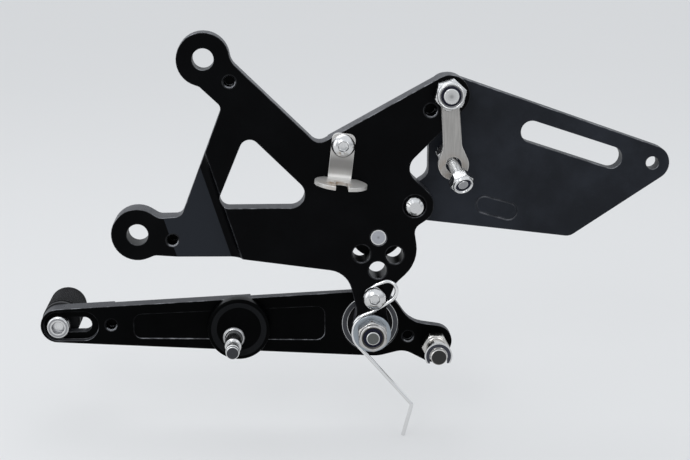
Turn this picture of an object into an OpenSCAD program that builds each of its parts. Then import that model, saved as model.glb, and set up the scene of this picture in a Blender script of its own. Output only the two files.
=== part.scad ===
// Rear set, brake side, seen from the frame side.
// X runs to the rear of the motorcycle, Z up, Y outward; the origin is the upper frame bolt.
// The inner face of the base plate lies at y = 0.

/* [Base plate] */
// Thickness of the plate
plate_t = 10; // [8:0.5:12]
// Extra thickness of the rear arm on its outer side
arm_pad = 2; // [1:0.5:4]
// Thickness of the peg boss on the outer side, beyond the plate
peg_boss = 4; // [3:0.5:6]
// Bore of both frame bolts
frame_bore_d = 10; // [8:0.1:11]
// Outside radius of both frame ears
ear_r = 12.3; // [11:0.1:13]
// Lower frame bolt, measured forward of the upper one
ear_dx = 32.1; // [30:0.1:34]
// Lower frame bolt, measured down from the upper one
ear_dz = 81.9; // [81:0.1:84]
// How far the lower ear stands proud on the frame side
ear_proud = 2; // [1:0.1:3]
// Depth of the milled ramp beside the lower ear
ramp_depth = 4.2; // [3:0.1:5]
// Distance of the peg holes from their common centre
peg_pitch = 8; // [7.8:0.1:8.5]
// Diameter of the spare peg holes
peg_hole_d = 8.4; // [8:0.1:8.8]

/* [Fasteners] */
// Shank of the large bolts
m8_d = 8; // [7.8:0.1:8]
// Shank of the small screws
m6_d = 6; // [5.8:0.1:6]
// Width across flats of the large lock nuts
m8_af = 13.3; // [12.5:0.1:13.5]
// Width across flats of the small lock nut
m6_af = 10; // [9.6:0.1:10.4]
// Height of the steel body of the large lock nuts
m8_nut_h = 7.4; // [7:0.1:8.4]
// Diameter of the button heads of the small screws
m6_head_d = 11.1; // [10:0.1:11.5]
// Diameter of the pivot washer
washer_d = 18; // [17:0.5:20]
// Thickness of the pivot washer
washer_t = 1.6; // [1.5:0.1:2.5]

/* [Heel guard] */
// Thickness of the guard
guard_t = 8; // [6:0.5:10]
// Distance of the tip hole behind the upper frame bolt
guard_reach = 213.4; // [205:0.5:225]
// Width of the long slot
guard_slot_w = 10.6; // [9:0.1:12]
// Hole near the tip
guard_hole_d = 6.2; // [5:0.1:8]

/* [Stay link] */
// Length of the link between its two holes
link_l = 33.4; // [32.5:0.1:34.5]
// Width of the strip
link_w = 8.8; // [8:0.1:9.6]
// Thickness of the strip
link_t = 3; // [2.5:0.1:3.5]
// Radius of the eye
link_eye_r = 7.2; // [7:0.1:7.6]
// Bore of the eye
link_hole_d = 7.4; // [6.8:0.1:7.6]
// Lean of the loose bolt from square
bolt_lean = 35; // [33:1:37]
// Length of the loose bolt under its head
bolt_l = 22; // [21:0.5:25]

/* [Switch bracket] */
// Width of the tab
tab_w = 11; // [11:0.1:13]
// Sheet thickness of the bracket
tab_t = 2; // [1.5:0.1:2.5]
// Radius of the round shelf
shelf_r = 12.3; // [11:0.1:13]
// Width of the notch in the shelf
notch_w = 5.8; // [5:0.1:7]

/* [Lever] */
// Distance from pivot to toe peg
lever_reach = 150.6; // [146:0.2:160]
// Thickness of the lever at the toe
toe_t = 9.3; // [8.5:0.1:10]
// Thickness of the lever in the middle
mid_t = 7.7; // [6.5:0.1:8]
// Thickness of the lever beside the pivot
web_t = 5.2; // [4.5:0.1:6]
// Radius of the boss around the pivot
boss_r = 16.4; // [16:0.1:17.5]
// Travel of the toe peg in its slot
toe_travel = 12; // [8:0.5:13]
// Diameter of the toe peg
toe_peg_d = 18.4; // [16:0.1:18.5]
// Length of the toe peg
toe_peg_l = 30; // [25:0.5:40]

/* [Pivot] */
// Outside diameter of the pivot bearing
bearing_d = 28; // [28:0.5:28]
// Bore of the bearing
bearing_bore_d = 12; // [11:0.5:12]
// Width of the bearing
bearing_w = 8; // [7:0.5:8]

/* [Post and stud] */
// Diameter of the collar on the lever
collar_d = 30; // [28:0.5:32]
// Thickness of the collar
collar_t = 6.8; // [6:0.1:8]
// Length of the grooved post beyond the collar
post_l = 24.5; // [22.5:0.5:26]
// Width across flats of the tail stud
stud_af = 12; // [11:0.1:13]
// Length of the tail stud beyond the lever
stud_l = 22; // [21:0.5:25]

/* [Return spring] */
// Wire diameter
wire_d = 1.9; // [1.5:0.1:2]
// Smallest mean radius of the coil
coil_r = 7.4; // [7.4:0.1:7.8]
// Length of the long leg up to its bend
leg_l = 40.5; // [35:0.5:45]

/* [Foot peg] */
// Length of the peg
peg_l = 85; // [70:1:100]
// Diameter of the grip
peg_d = 22; // [19:0.5:24]
// Diameter of the peg flange
peg_flange_d = 26.5; // [25:0.1:27.5]

/* [Hidden] */
$fn = 64;
slide_gap = 0.5;
run_gap = 0.1;
lever_y = plate_t + 1;
guard_y = plate_t + arm_pad;
peg_y = plate_t + peg_boss;
ear2 = [-ear_dx, -ear_dz];
stay_lug = [114, -17.4];
stay = stay_lug + [-0.4, 1.1];
lobe = [98.2, -69.9];
cluster = [81.05, -92.9];
peg_at = cluster + [0.1, peg_pitch];
pivot = [78, -130.6];
toe = [pivot[0] - lever_reach, -130.2];
eye = stay + [2.4, -link_l];
switch_at = [64.4, -40.3];
hook_at = [79.2, -114.1];
post_at = [11.9, -135.2];
collar_at = [14.4, -130.8];
stud_at = [109.6, -141.3];
bush_t = 2 * wire_d + 0.5;
bush_r = 6.2;
slot_w = m6_d + 1.4;
bracket_turn = 6.5;
recess_r = 7.2;
recess_d = 3.2;
button_h = 3.3;
lean_heading = -65.5;
under_head = 6.4;
ramp_tilt = 17.79;
guard_tip = [guard_reach, -17.4 - 35];
black = [0.05, 0.05, 0.055];
black_plate = [0.06, 0.06, 0.065];
grey_black = [0.14, 0.15, 0.17];
steel = [0.78, 0.79, 0.80];
dull_steel = [0.60, 0.59, 0.57];
navy = [0.05, 0.07, 0.25];

// Direction of a vector in the plane.
function unit(v) = v / norm(v);

// Points of the arc that rounds corner v between p and q with radius r.
function corner(p, v, q, r) =
    r <= 0 ? [v] :
    let (u = unit(p - v), w = unit(q - v))
    let (half = acos(max(-1, min(1, u * w))) / 2)
    let (m = v + unit(u + w) * r / sin(half), t = r / tan(half))
    let (a = v + u * t - m, b = v + w * t - m)
    let (a0 = atan2(a[1], a[0]), d0 = atan2(b[1], b[0]) - a0)
    let (d = d0 > 180 ? d0 - 360 : d0 < -180 ? d0 + 360 : d0)
    let (n = max(2, ceil(abs(d) / 10)))
    [for (i = [0:n]) m + r * [cos(a0 + d * i / n), sin(a0 + d * i / n)]];

// Points that stand apart from the next one.
function apart(pts) = let (n = len(pts))
    [for (i = [0:n - 1]) if (norm(pts[i] - pts[(i + 1) % n]) > 0.03) pts[i]];

// How far from corner v its rounding starts.
function reach(p, v, q, r) =
    r <= 0 ? 0 : r / tan(acos(max(-1, min(1, unit(p - v) * unit(q - v)))) / 2);

// Outline with every corner rounded; a point is [x, z, radius]. Roundings never meet.
function rounded(pts) =
    let (n = len(pts), v = [for (p = pts) [p[0], p[1]]])
    let (t = [for (i = [0:n - 1]) reach(v[(i + n - 1) % n], v[i], v[(i + 1) % n], pts[i][2])])
    let (side = [for (i = [0:n - 1]) norm(v[(i + 1) % n] - v[i])])
    let (fit = [for (i = [0:n - 1]) (side[i] - 0.004) / (t[i] + t[(i + 1) % n] + 0.0001)])
    apart([for (i = [0:n - 1]) let (b = (i + n - 1) % n)
        each corner(v[b], v[i], v[(i + 1) % n], pts[i][2] * min(1, fit[i], fit[b]))]);

// Corner points whose rounding gives the arc of radius r around c through the angles.
function lug(c, r, angles) =
    [for (i = [0:len(angles) - 2])
        let (m = (angles[i] + angles[i + 1]) / 2, h = (angles[i + 1] - angles[i]) / 2)
        [c[0] + r / cos(h) * cos(m), c[1] + r / cos(h) * sin(m), r]];

// Stadium outline from a to b with half width r.
function stadium(a, b, r) = let (t = atan2(b[1] - a[1], b[0] - a[0]))
    concat(lug(a, r, [t + 90, t + 180, t + 270]), lug(b, r, [t - 90, t, t + 90]));

// Flat piece between two depths.
module slab(y0, y1) {
    translate([0, y1, 0])
        rotate([90, 0, 0])
            linear_extrude(y1 - y0)
                children();
}

// Round bar or bore along Y at p.
module rod(p, y0, y1, r) {
    translate([p[0], y1, p[1]])
        rotate([90, 0, 0])
            cylinder(h = y1 - y0, r = r);
}

// Cone frustum along Y, r0 at y0 and r1 at y1.
module taper(p, y0, y1, r0, r1) {
    translate([p[0], y0, p[1]])
        rotate([-90, 0, 0])
            cylinder(h = y1 - y0 + 0.2, r1 = r0, r2 = r1 + 0.2 * (r1 - r0) / (y1 - y0));
}

// Hexagonal bar along Y.
module hexbar(p, y0, y1, af, turn = 0) {
    translate([p[0], y1, p[1]])
        rotate([90, 0, 0])
            rotate([0, 0, turn])
                cylinder(h = y1 - y0, r = af / sqrt(3), $fn = 6);
}

// Solid of revolution about the Y axis at p; points are [radius, y].
module turned(p, pts) {
    translate([p[0], 0, p[1]])
        rotate([-90, 0, 0])
            rotate_extrude()
                polygon(pts);
}

// Steel body of a lock nut with its seat at y0, standing toward the frame.
module nut_body(p, y0, af, h, bore, turn) {
    difference() {
        union() {
            intersection() {
                hexbar(p, y0 - h * 0.72, y0, af, turn);
                turned(p, [[0, y0], [af * 0.54, y0], [af * 0.6, y0 - 0.6],
                    [af * 0.6, y0 - h * 0.60], [af * 0.5, y0 - h * 0.72], [0, y0 - h * 0.72]]);
            }
            turned(p, [[0, y0 - h * 0.7], [af * 0.485, y0 - h * 0.7], [af * 0.485, y0 - h * 0.9],
                [af * 0.45, y0 - h], [0, y0 - h]]);
        }
        rod(p, y0 - h - 1, y0 + 1, bore / 2);
        rod(p, y0 - h - 1, y0 - h * 0.76, af * 0.40);
    }
}

// Nylon ring in the crown of a lock nut.
module nut_ring(p, y0, af, h, bore) {
    difference() {
        rod(p, y0 - h + 0.4, y0 - h * 0.76, af * 0.40);
        rod(p, y0 - h - 1, y0 + 1, bore / 2);
    }
}

// Button head with hex socket, underside at y0, standing toward the frame.
module button_head(p, y0, d, h, socket) {
    difference() {
        turned(p, [[0, y0], [d / 2, y0], [d / 2, y0 - h * 0.18], [d * 0.46, y0 - h * 0.45],
            [d * 0.38, y0 - h * 0.75], [d * 0.26, y0 - h], [0, y0 - h]]);
        hexbar(p, y0 - h - 1, y0 - h * 0.35, socket, 15);
    }
}

// Outline of the base plate.
module plate_outline() {
    polygon(rounded(concat(
        lug([0, 0], ear_r, [8, 80, 167, 254]),
        [[-2.0, -12.6, 3], [8.2, -22.2, 3.5], [-11.5, -73.9, 4], [-21.9, -74.0, 5]],
        lug(ear2, ear_r, [59, 137, 215, 293]),
        [[-24.2, -91.95, 5], [16.7, -94.9, 40], [66.4, -101.9, 12], [71.0, -120.5, 6]],
        lug(pivot, 9, [172, 232, 308, 368]),
        [[84.9, -119.6, 8], [89.4, -107.6, 6]],
        lug([81.6, -92.3], 17.4, [-42, 14]),
        [[98.0, -80.6, 5]],
        lug(lobe, 9, [-55, 48]),
        [[92.7, -52.0, 7]],
        lug(stay_lug, 9.5, [-44, 38, 119]),
        [[52.76, -40.23, 5.2], [12.6, -1.1, 8]])));
}

// Triangular window in the base plate.
module window_outline() {
    polygon(rounded([[19.23, -34.04, 4.7], [4.28, -70.2, 4.5], [55.95, -70.2, 6.6]]));
}

// Ramp milled down from the plate face and up to the lower ear.
module ramp_cut() {
    r = 5;
    s0 = -13;
    c = [s0 - sqrt(r * r - (r - ramp_depth) * (r - ramp_depth)), ramp_depth - r];
    end = [-41.4, -ear_proud];
    rotate([0, -ramp_tilt, 0])
        translate([0, 0, -108])
            linear_extrude(72)
                polygon(concat([[s0, -ear_proud - 1]],
                    [for (i = [0:8]) c + r * [cos(asin((r - ramp_depth) / r) * (1 - i / 8)
                        + 90 * i / 8), sin(asin((r - ramp_depth) / r) * (1 - i / 8)
                        + 90 * i / 8)]],
                    [end, [end[0], -ear_proud - 1]]));
}

// Base plate with its ears, windows and holes.
module main_plate() {
    color(black_plate)
    difference() {
        union() {
            slab(0, plate_t) plate_outline();
            slab(plate_t, guard_y)
                intersection() {
                    plate_outline();
                    translate([57.5, -77.3])
                        square([100, 100]);
                }
            slab(-ear_proud, 0)
                intersection() {
                    plate_outline();
                    rotate([0, 0, ramp_tilt])
                        translate([-90, -120])
                            square([70, 120]);
                }
            rod([81.6, -92.3], plate_t - 1, peg_y, 16.9);
        }
        slab(-ear_proud - 1, guard_y + 1) window_outline();
        ramp_cut();
        for (p = [[0, 0], ear2]) {
            rod(p, -ear_proud - 1, plate_t + 1, frame_bore_d / 2);
        }
        for (p = [peg_at, lobe, stay, pivot]) {
            rod(p, -1, peg_y + 1, m8_d / 2);
        }
        for (a = [[-peg_pitch + 0.1, 0.1], [peg_pitch - 0.1, -0.7], [-0.1, -peg_pitch]]) {
            rod(cluster + a, -1, peg_y + 1, peg_hole_d / 2);
            taper(cluster + a, -0.01, 0.3, peg_hole_d / 2 + 0.3, peg_hole_d / 2);
        }
        taper(lobe, -0.01, 1.1, 5.6, m8_d / 2 + 0.5);
        for (p = [switch_at, hook_at]) {
            rod(p, -1, 8, m6_d / 2);
        }
        rod([12.0, -10.4], -1, 7, 2.5);
        taper([12.0, -10.4], -0.01, 0.7, 3.2, 2.5);
        rod([-15.8, -84.7], -5, 8, 2.5);
        rod([105.3, -24.3], -1, 9, 2.9);
        taper([105.3, -24.3], -0.01, 0.5, 3.4, 2.9);
    }
}

// Heel guard behind the rear arm.
module heel_guard() {
    color(grey_black)
    difference() {
        slab(guard_y, guard_y + guard_t)
            polygon(rounded(concat(
                lug(stay_lug, 8.4, [71.2, 125, 180]),
                [[stay_lug[0] - 8.4, -57.2, 6]],
                lug(lobe, 8.8, [142, 202, 262.5]),
                [[guard_tip[0] - 38.8, guard_tip[1] - 35.8, 6]],
                lug(guard_tip, 8.2, [-57.6, 5, 71.2]))));
        slab(guard_y - 1, guard_y + guard_t + 1)
            polygon(rounded(stadium(guard_tip + [-58.5, 15.5], guard_tip + [-20.1, 2.8],
                guard_slot_w / 2)));
        rod(guard_tip, guard_y - 1, guard_y + guard_t + 1, guard_hole_d / 2);
        for (p = [lobe, stay]) {
            rod(p, guard_y - 1, guard_y + guard_t + 1, m8_d / 2);
        }
        difference() {
            slab(guard_y - 1, guard_y + 0.3)
                polygon(rounded(stadium([132.9, -72.0], [144.5, -75.4], 4.4)));
            slab(guard_y - 2, guard_y + 0.4)
                polygon(rounded(stadium([132.9, -72.0], [144.5, -75.4], 3.8)));
        }
    }
}

// Foot peg with flange, grip and end cap seat.
module foot_peg() {
    r = peg_d / 2;
    color(black)
    difference() {
        turned(peg_at, [[0, peg_y], [peg_flange_d / 2 - 0.6, peg_y],
            [peg_flange_d / 2, peg_y + 0.6], [peg_flange_d / 2, peg_y + 5.4],
            [peg_flange_d / 2 - 0.6, peg_y + 6], [r - 1.6, peg_y + 6], [r - 1.6, peg_y + 9],
            [r, peg_y + 10], [r, peg_y + peg_l * 0.48], [r - 1.2, peg_y + peg_l * 0.5],
            [r - 1.2, peg_y + peg_l * 0.54], [r, peg_y + peg_l * 0.56],
            [r, peg_y + peg_l - 7], [r - 1.2, peg_y + peg_l - 6],
            [r - 1.2, peg_y + peg_l - 4], [r + 0.6, peg_y + peg_l - 3],
            [r + 0.6, peg_y + peg_l - 1], [r - 0.4, peg_y + peg_l], [0, peg_y + peg_l]]);
        rod(peg_at, peg_y - 1, peg_y + peg_l + 1, m8_d / 2);
        rod(peg_at, peg_y + peg_l - 9, peg_y + peg_l + 1, 6.9);
    }
}

// Socket head bolt through the foot peg; its end is flush with the frame side.
module peg_bolt() {
    y1 = peg_y + peg_l - 9;
    color(steel)
    difference() {
        union() {
            turned(peg_at, [[0, 0.1], [m8_d / 2 - 0.35, 0.1], [m8_d / 2, 0.5],
                [m8_d / 2, y1 + 0.5], [0, y1 + 0.5]]);
            turned(peg_at, [[0, y1], [6.5, y1], [6.5, y1 + 7.4], [5.9, y1 + 8], [0, y1 + 8]]);
        }
        hexbar(peg_at, y1 + 4, y1 + 9, 6);
    }
}

// Button head bolt from the outer side; end_y is the frame side end.
module through_bolt(p, end_y, seat_y, head_r, head_h, point) {
    difference() {
        union() {
            turned(p, [[0, end_y], [m8_d / 2 - point, end_y], [m8_d / 2, end_y + point * 1.3],
                [m8_d / 2, seat_y + 0.5], [0, seat_y + 0.5]]);
            turned(p, [[0, seat_y], [head_r, seat_y], [head_r, seat_y + head_h * 0.2],
                [head_r * 0.88, seat_y + head_h * 0.55], [head_r * 0.55, seat_y + head_h],
                [0, seat_y + head_h]]);
        }
        hexbar(p, seat_y + head_h * 0.4, seat_y + head_h + 1, 5);
    }
}

// Bolt that holds the guard at the lobe.
module guard_bolt() {
    color(steel) through_bolt(lobe, -3.8, guard_y + guard_t, 7, 4.4, 1.4);
}

// Bolt that holds the guard and the stay link.
module stay_bolt() {
    color(steel)
        through_bolt(stay, -link_t - m8_nut_h - 0.9, guard_y + guard_t, 7, 4.4, 0.8);
}

// Lock nut on the stay bolt.
module stay_nut() {
    color(steel) nut_body(stay, -link_t, m8_af, m8_nut_h, m8_d, 17);
}

// Nylon ring of the stay nut.
module stay_nut_ring() {
    color(navy) nut_ring(stay, -link_t, m8_af, m8_nut_h, m8_d);
}

// Strip from the stay bolt to the open eye.
module stay_link() {
    t = atan2(eye[1] - stay[1], eye[0] - stay[0]);
    side = link_w / 2 * [-sin(t), cos(t)];
    run = [cos(t), sin(t)];
    neck = eye - run * (link_eye_r + 1.6);
    color(dull_steel)
    difference() {
        slab(-link_t, 0)
            polygon(rounded(concat(
                lug(stay, link_w / 2 + 1.6, [t + 110, t + 180, t + 250]),
                [[neck[0] - side[0], neck[1] - side[1], 5]],
                lug(eye, link_eye_r, [t - 110, t - 38, t + 38, t + 110]),
                [[neck[0] + side[0], neck[1] + side[1], 5]])));
        rod(stay, -link_t - 1, 1, m8_d / 2);
        translate([eye[0], 1, eye[1]])
            rotate([90, 0, 0])
                rotate([0, 0, lean_heading + 180])
                    cylinder(h = link_t + 2, r = link_hole_d / 2);
        leaning()
            translate([0, 0, -10])
                cylinder(h = 20, r = m6_d / 2 + 0.25);
    }
}

// Places children along the leaning bolt, with Z from the head to the nut.
module leaning() {
    translate([eye[0], -link_t / 2, eye[1]])
        rotate([90, 0, 0])
            rotate([0, 0, lean_heading])
                rotate([0, bolt_lean, 0])
                    children();
}

// Loose bolt hanging in the eye of the stay link.
module link_bolt() {
    color(steel)
    leaning() {
        difference() {
            translate([0, 0, -under_head - 4])
                cylinder(h = 4, r = m6_af / sqrt(3), $fn = 6);
            translate([0, 0, -under_head - 5])
                cylinder(h = 1.6, r = 2.6);
        }
        translate([0, 0, -under_head - 0.5])
            rotate_extrude()
                polygon([[0, 0], [m6_d / 2, 0], [m6_d / 2, bolt_l - 0.1],
                    [m6_d / 2 - 0.6, bolt_l + 0.5], [0, bolt_l + 0.5]]);
    }
}

// Lock nut at the end of the loose bolt.
module link_nut() {
    z0 = bolt_l - under_head - 6.4;
    color(steel)
    leaning() {
        difference() {
            union() {
                intersection() {
                    translate([0, 0, z0])
                        rotate([0, 0, 8])
                            cylinder(h = 4.4, r = m6_af / sqrt(3), $fn = 6);
                    translate([0, 0, z0])
                        rotate_extrude()
                            polygon([[0, 0], [m6_af * 0.53, 0], [m6_af * 0.6, 0.5],
                                [m6_af * 0.6, 3.7], [m6_af * 0.5, 4.4], [0, 4.4]]);
                }
                translate([0, 0, z0 + 4.2])
                    rotate_extrude()
                        polygon([[0, 0], [m6_af * 0.48, 0], [m6_af * 0.48, 1.3],
                            [m6_af * 0.44, 1.8], [0, 1.8]]);
            }
            translate([0, 0, z0 - 1])
                cylinder(h = 8, r = m6_d / 2);
            translate([0, 0, z0 + 4.6])
                cylinder(h = 3, r = m6_af * 0.4);
        }
    }
}

// Nylon ring of the loose nut.
module link_nut_ring() {
    z0 = bolt_l - under_head - 6.4;
    color(navy)
    leaning() {
        difference() {
            translate([0, 0, z0 + 4.6])
                cylinder(h = 1.1, r = m6_af * 0.4);
            translate([0, 0, z0])
                cylinder(h = 8, r = m6_d / 2);
        }
    }
}

// Bent bracket for the brake light switch.
module switch_bracket() {
    shelf_z = -17.5;
    color(dull_steel)
    translate([switch_at[0], 0, switch_at[1]])
        rotate([0, bracket_turn, 0])
            difference() {
                union() {
                    slab(-tab_t, 0)
                        polygon(rounded([[tab_w / 2, 5.7, 3], [-tab_w / 2, 5.7, 3],
                            [-tab_w / 2, shelf_z, 0], [tab_w / 2, shelf_z, 0]]));
                    intersection() {
                        translate([0.4, -9.6, shelf_z])
                            cylinder(h = tab_t * 0.9, r = shelf_r);
                        translate([-20, -40, shelf_z - 1])
                            cube([40, 40, 5]);
                    }
                }
                rod([0, 0], -tab_t - 1, 1, m6_d / 2);
                translate([0.6, -11, shelf_z - 1])
                    cylinder(h = 5, r = notch_w / 2);
                translate([0.6 - notch_w / 2, -40, shelf_z - 1])
                    cube([notch_w, 29, 5]);
            }
}

// Screw of the switch bracket.
module switch_screw() {
    color(steel) {
        button_head(switch_at, -tab_t, m6_head_d, button_h, 4);
        rod(switch_at, -tab_t - 0.4, 7, m6_d / 2);
    }
}

// Screw that holds the hook of the return spring.
module spring_screw() {
    color(steel) {
        button_head(hook_at, -wire_d - 0.25, m6_head_d, button_h, 4);
        rod(hook_at, -wire_d - 0.65, 7, m6_d / 2);
    }
}

// Round wire along a path that stays close to the XZ plane.
module wire(path, r) {
    n = len(path);
    m = 10;
    tan_at = [for (i = [0:n - 1]) unit(path[min(i + 1, n - 1)] - path[max(i - 1, 0)])];
    pts = [for (i = [0:n - 1]) let (s = unit(cross(tan_at[i], [0, 1, 0])), u = cross(s, tan_at[i]))
        for (k = [0:m - 1]) path[i] + r * (cos(360 * k / m) * s + sin(360 * k / m) * u)];
    sides = [for (i = [0:n - 2]) for (k = [0:m - 1]) let (a = i * m + k, b = i * m + (k + 1) % m)
        each [[a, b, b + m], [a, b + m, a + m]]];
    caps = [[for (k = [m - 1:-1:0]) k], [for (k = [0:m - 1]) (n - 1) * m + k]];
    polyhedron(points = pts, faces = concat(sides, caps));
}

// Smooth path points in the plane from rounded corners at one depth.
function flat_path(pts, y) =
    [for (p = pts) [p[0], y, p[1]]];

// Rounds the inner corners of an open path.
function bent(pts) = let (n = len(pts))
    concat([[pts[0][0], pts[0][1]]],
        [for (i = [1:n - 2]) each corner([pts[i - 1][0], pts[i - 1][1]], [pts[i][0], pts[i][1]],
            [pts[i + 1][0], pts[i + 1][1]], pts[i][2])],
        [[pts[n - 1][0], pts[n - 1][1]]]);

// Mean radius of the wound wire at angle a around the pivot.
function wound(a) = coil_r - 7.4 + lookup(a, [[113, 8.75], [150, 9], [185, 8.6], [225, 8.2],
    [280, 7.6], [340, 7.4], [450, 7.4], [480, 8], [515, 8.9], [550, 9], [581, 9.27]]);

// Return spring: hook, coil and free leg.
module return_spring() {
    y0 = -wire_d / 2 - 0.12;
    y1 = y0 - wire_d - 0.2;
    a0 = 113;
    a1 = 580.9;
    enter = pivot + wound(a0) * [cos(a0), sin(a0)];
    leave = pivot + wound(a1) * [cos(a1), sin(a1)];
    bend = leave + leg_l * [-sin(a1), cos(a1)];
    tip = bend + [-4.2, -15.8];
    hook = flat_path(bent([[75.0, -113.6, 0], [75.3, -109.8, 2.5], [89.9, -104.4, 4.3],
        [89.9, -113.8, 5.4], [78.2, -121.2, 10], [enter[0], enter[1], 0]]), y0);
    coil = [for (i = [1:47]) let (a = a0 + (a1 - a0) * i / 48)
        [pivot[0] + wound(a) * cos(a), lookup(a, [[225, y0], [450, y1]]),
            pivot[1] + wound(a) * sin(a)]];
    tail = flat_path(bent([[leave[0], leave[1], 0], [bend[0], bend[1], 2], [tip[0], tip[1], 0]]),
        y1);
    color(steel) wire(concat(hook, coil, tail), wire_d / 2);
}

// Bush inside the coil of the return spring.
module spring_bush() {
    color(steel)
    difference() {
        rod(pivot, -bush_t, 0, bush_r);
        rod(pivot, -bush_t - 1, 1, m8_d / 2);
    }
}

// Pivot bolt from the outer side.
module pivot_bolt() {
    seat = lever_y + bearing_w + 2;
    color(steel)
        through_bolt(pivot, -bush_t - washer_t - m8_nut_h - 0.7, seat, 8, 4.6, 0.8);
}

// Sleeve that carries the bearing.
module pivot_sleeve() {
    color(steel)
    difference() {
        union() {
            rod(pivot, plate_t, lever_y + 0.5, 8);
            rod(pivot, plate_t, lever_y + bearing_w + 2, bearing_bore_d / 2);
        }
        rod(pivot, plate_t - 1, lever_y + bearing_w + 3, m8_d / 2);
    }
}

// Washer under the pivot nut.
module pivot_washer() {
    color(steel)
    difference() {
        turned(pivot, [[0, -bush_t], [washer_d / 2, -bush_t],
            [washer_d / 2, -bush_t - washer_t + 0.3],
            [washer_d / 2 - 0.3, -bush_t - washer_t], [0, -bush_t - washer_t]]);
        rod(pivot, -20, 20, m8_d / 2);
    }
}

// Lock nut on the pivot bolt.
module pivot_nut() {
    color(steel) nut_body(pivot, -bush_t - washer_t, m8_af, m8_nut_h, m8_d, 33);
}

// Nylon ring of the pivot nut.
module pivot_nut_ring() {
    color(navy) nut_ring(pivot, -bush_t - washer_t, m8_af, m8_nut_h, m8_d);
}

// Ring of the bearing between two radii, with a ball groove.
module race(r0, r1) {
    y0 = lever_y + 0.5;
    difference() {
        rod(pivot, y0, y0 + bearing_w, r1);
        rod(pivot, y0 - 1, y0 + bearing_w + 1, r0);
        translate([pivot[0], y0 + bearing_w / 2, pivot[1]])
            rotate([90, 0, 0])
                rotate_extrude()
                    translate([(bearing_bore_d + bearing_d) / 4, 0])
                        circle(r = 2.4);
    }
}

// Inner ring of the pivot bearing.
module bearing_inner() {
    color(steel) race(bearing_bore_d / 2, 8.4);
}

// Outer ring of the pivot bearing.
module bearing_outer() {
    color(steel) race(11.6, bearing_d / 2);
}

// Balls of the pivot bearing.
module bearing_balls() {
    color(steel)
    for (i = [0:7]) {
        translate([pivot[0] + 10 * cos(i * 45), lever_y + 0.5 + bearing_w / 2,
            pivot[1] + 10 * sin(i * 45)])
            sphere(r = 2.3, $fn = 32);
    }
}

// Seals on both faces of the pivot bearing.
module bearing_shield() {
    color(dull_steel)
    for (y = [lever_y + 0.7, lever_y + 0.3 + bearing_w - 0.6]) {
        difference() {
            rod(pivot, y, y + 0.6, 11.6);
            rod(pivot, y - 1, y + 2, 8.6);
        }
    }
}

// Outline of the lever.
module lever_outline() {
    polygon(rounded(concat(
        lug(toe, 8.65, [93.6, 178, 262.6]),
        lug(pivot, boss_r, [-93, -60]),
        [[94.6, -144.1, 10]],
        lug(stud_at, 8, [-127, -20, 88]),
        [[97.4, -129.9, 14]],
        lug(pivot, boss_r, [30, 62, 93.6]))));
}

// Slot-shaped cutter of half width r in the toe end.
module toe_slot(y0, y1, r) {
    slab(y0, y1) polygon(rounded(stadium(toe, toe + [toe_travel, 0], r)));
}

// Brake lever.
module brake_lever() {
    color(black_plate)
    difference() {
        union() {
            slab(lever_y, lever_y + web_t) lever_outline();
            slab(lever_y + web_t, lever_y + mid_t)
                intersection() {
                    lever_outline();
                    translate([-120, -200])
                        square([140, 140]);
                }
            slab(lever_y + mid_t, lever_y + toe_t)
                intersection() {
                    lever_outline();
                    translate([-120, -200])
                        square([74, 140]);
                }
            rod(pivot, lever_y + 1, lever_y + bearing_w + 1.4, boss_r - 0.7);
        }
        rod(pivot, lever_y - 1, lever_y + 0.5 + bearing_w, bearing_d / 2);
        rod(pivot, lever_y, lever_y + 20, 12.2);
        toe_slot(lever_y - 1, lever_y + recess_d, recess_r);
        toe_slot(lever_y - 1, lever_y + 20, slot_w / 2);
        slab(lever_y - 1, lever_y + 0.5)
            polygon(rounded([[-36.5, -136.6, 4], [56, -138.6, 4], [56, -121.5, 4],
                [-36.5, -124.6, 4]]));
        rod([-47.3, -129.7], lever_y - 1, lever_y + 6, 2.5);
        taper([-47.3, -129.7], lever_y - 0.01, lever_y + 0.6, 3.1, 2.5);
        rod([96.6, -137.4], lever_y - 1, lever_y + 4, 2.5);
        taper([96.6, -137.4], lever_y - 0.01, lever_y + 0.6, 3.1, 2.5);
        rod(post_at, lever_y - 1, lever_y + 4, 3);
        rod(stud_at, lever_y - 1, lever_y + 20, m6_d / 2);
    }
}

// Collar under the grooved post.
module post_collar() {
    y0 = lever_y - collar_t;
    r = collar_d / 2;
    color(black)
    difference() {
        turned(collar_at, [[0, lever_y], [r, lever_y], [r, y0 + 0.5], [r - 0.5, y0],
            [r - 1.8, y0], [r - 4.4, y0 + 1.3], [0, y0 + 1.3]]);
        rod(post_at, y0 - 1, lever_y + 2, 3);
    }
}

// Grooved post for the return spring leg.
module spring_post() {
    y0 = lever_y - collar_t + 1.3;
    y1 = y0 - post_l;
    color(steel)
        turned(post_at, [[0, y1], [2.7, y1], [3.15, y1 + 0.5], [3.15, y1 + 1.8],
            [2.85, y1 + 2.0], [2.85, y1 + 2.6], [3.35, y1 + 2.9], [3.35, y1 + 4.6],
            [2.95, y1 + 5.1], [2.95, y1 + 10.2], [3.9, y1 + 11.0], [3.9, y0 - 2.4],
            [4.4, y0 - 1.4], [4.9, y0 - 1.2], [5.4, y0 - 0.7], [5.4, y0], [3, y0],
            [3, lever_y + 3.9], [0, lever_y + 3.9]]);
}

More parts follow.
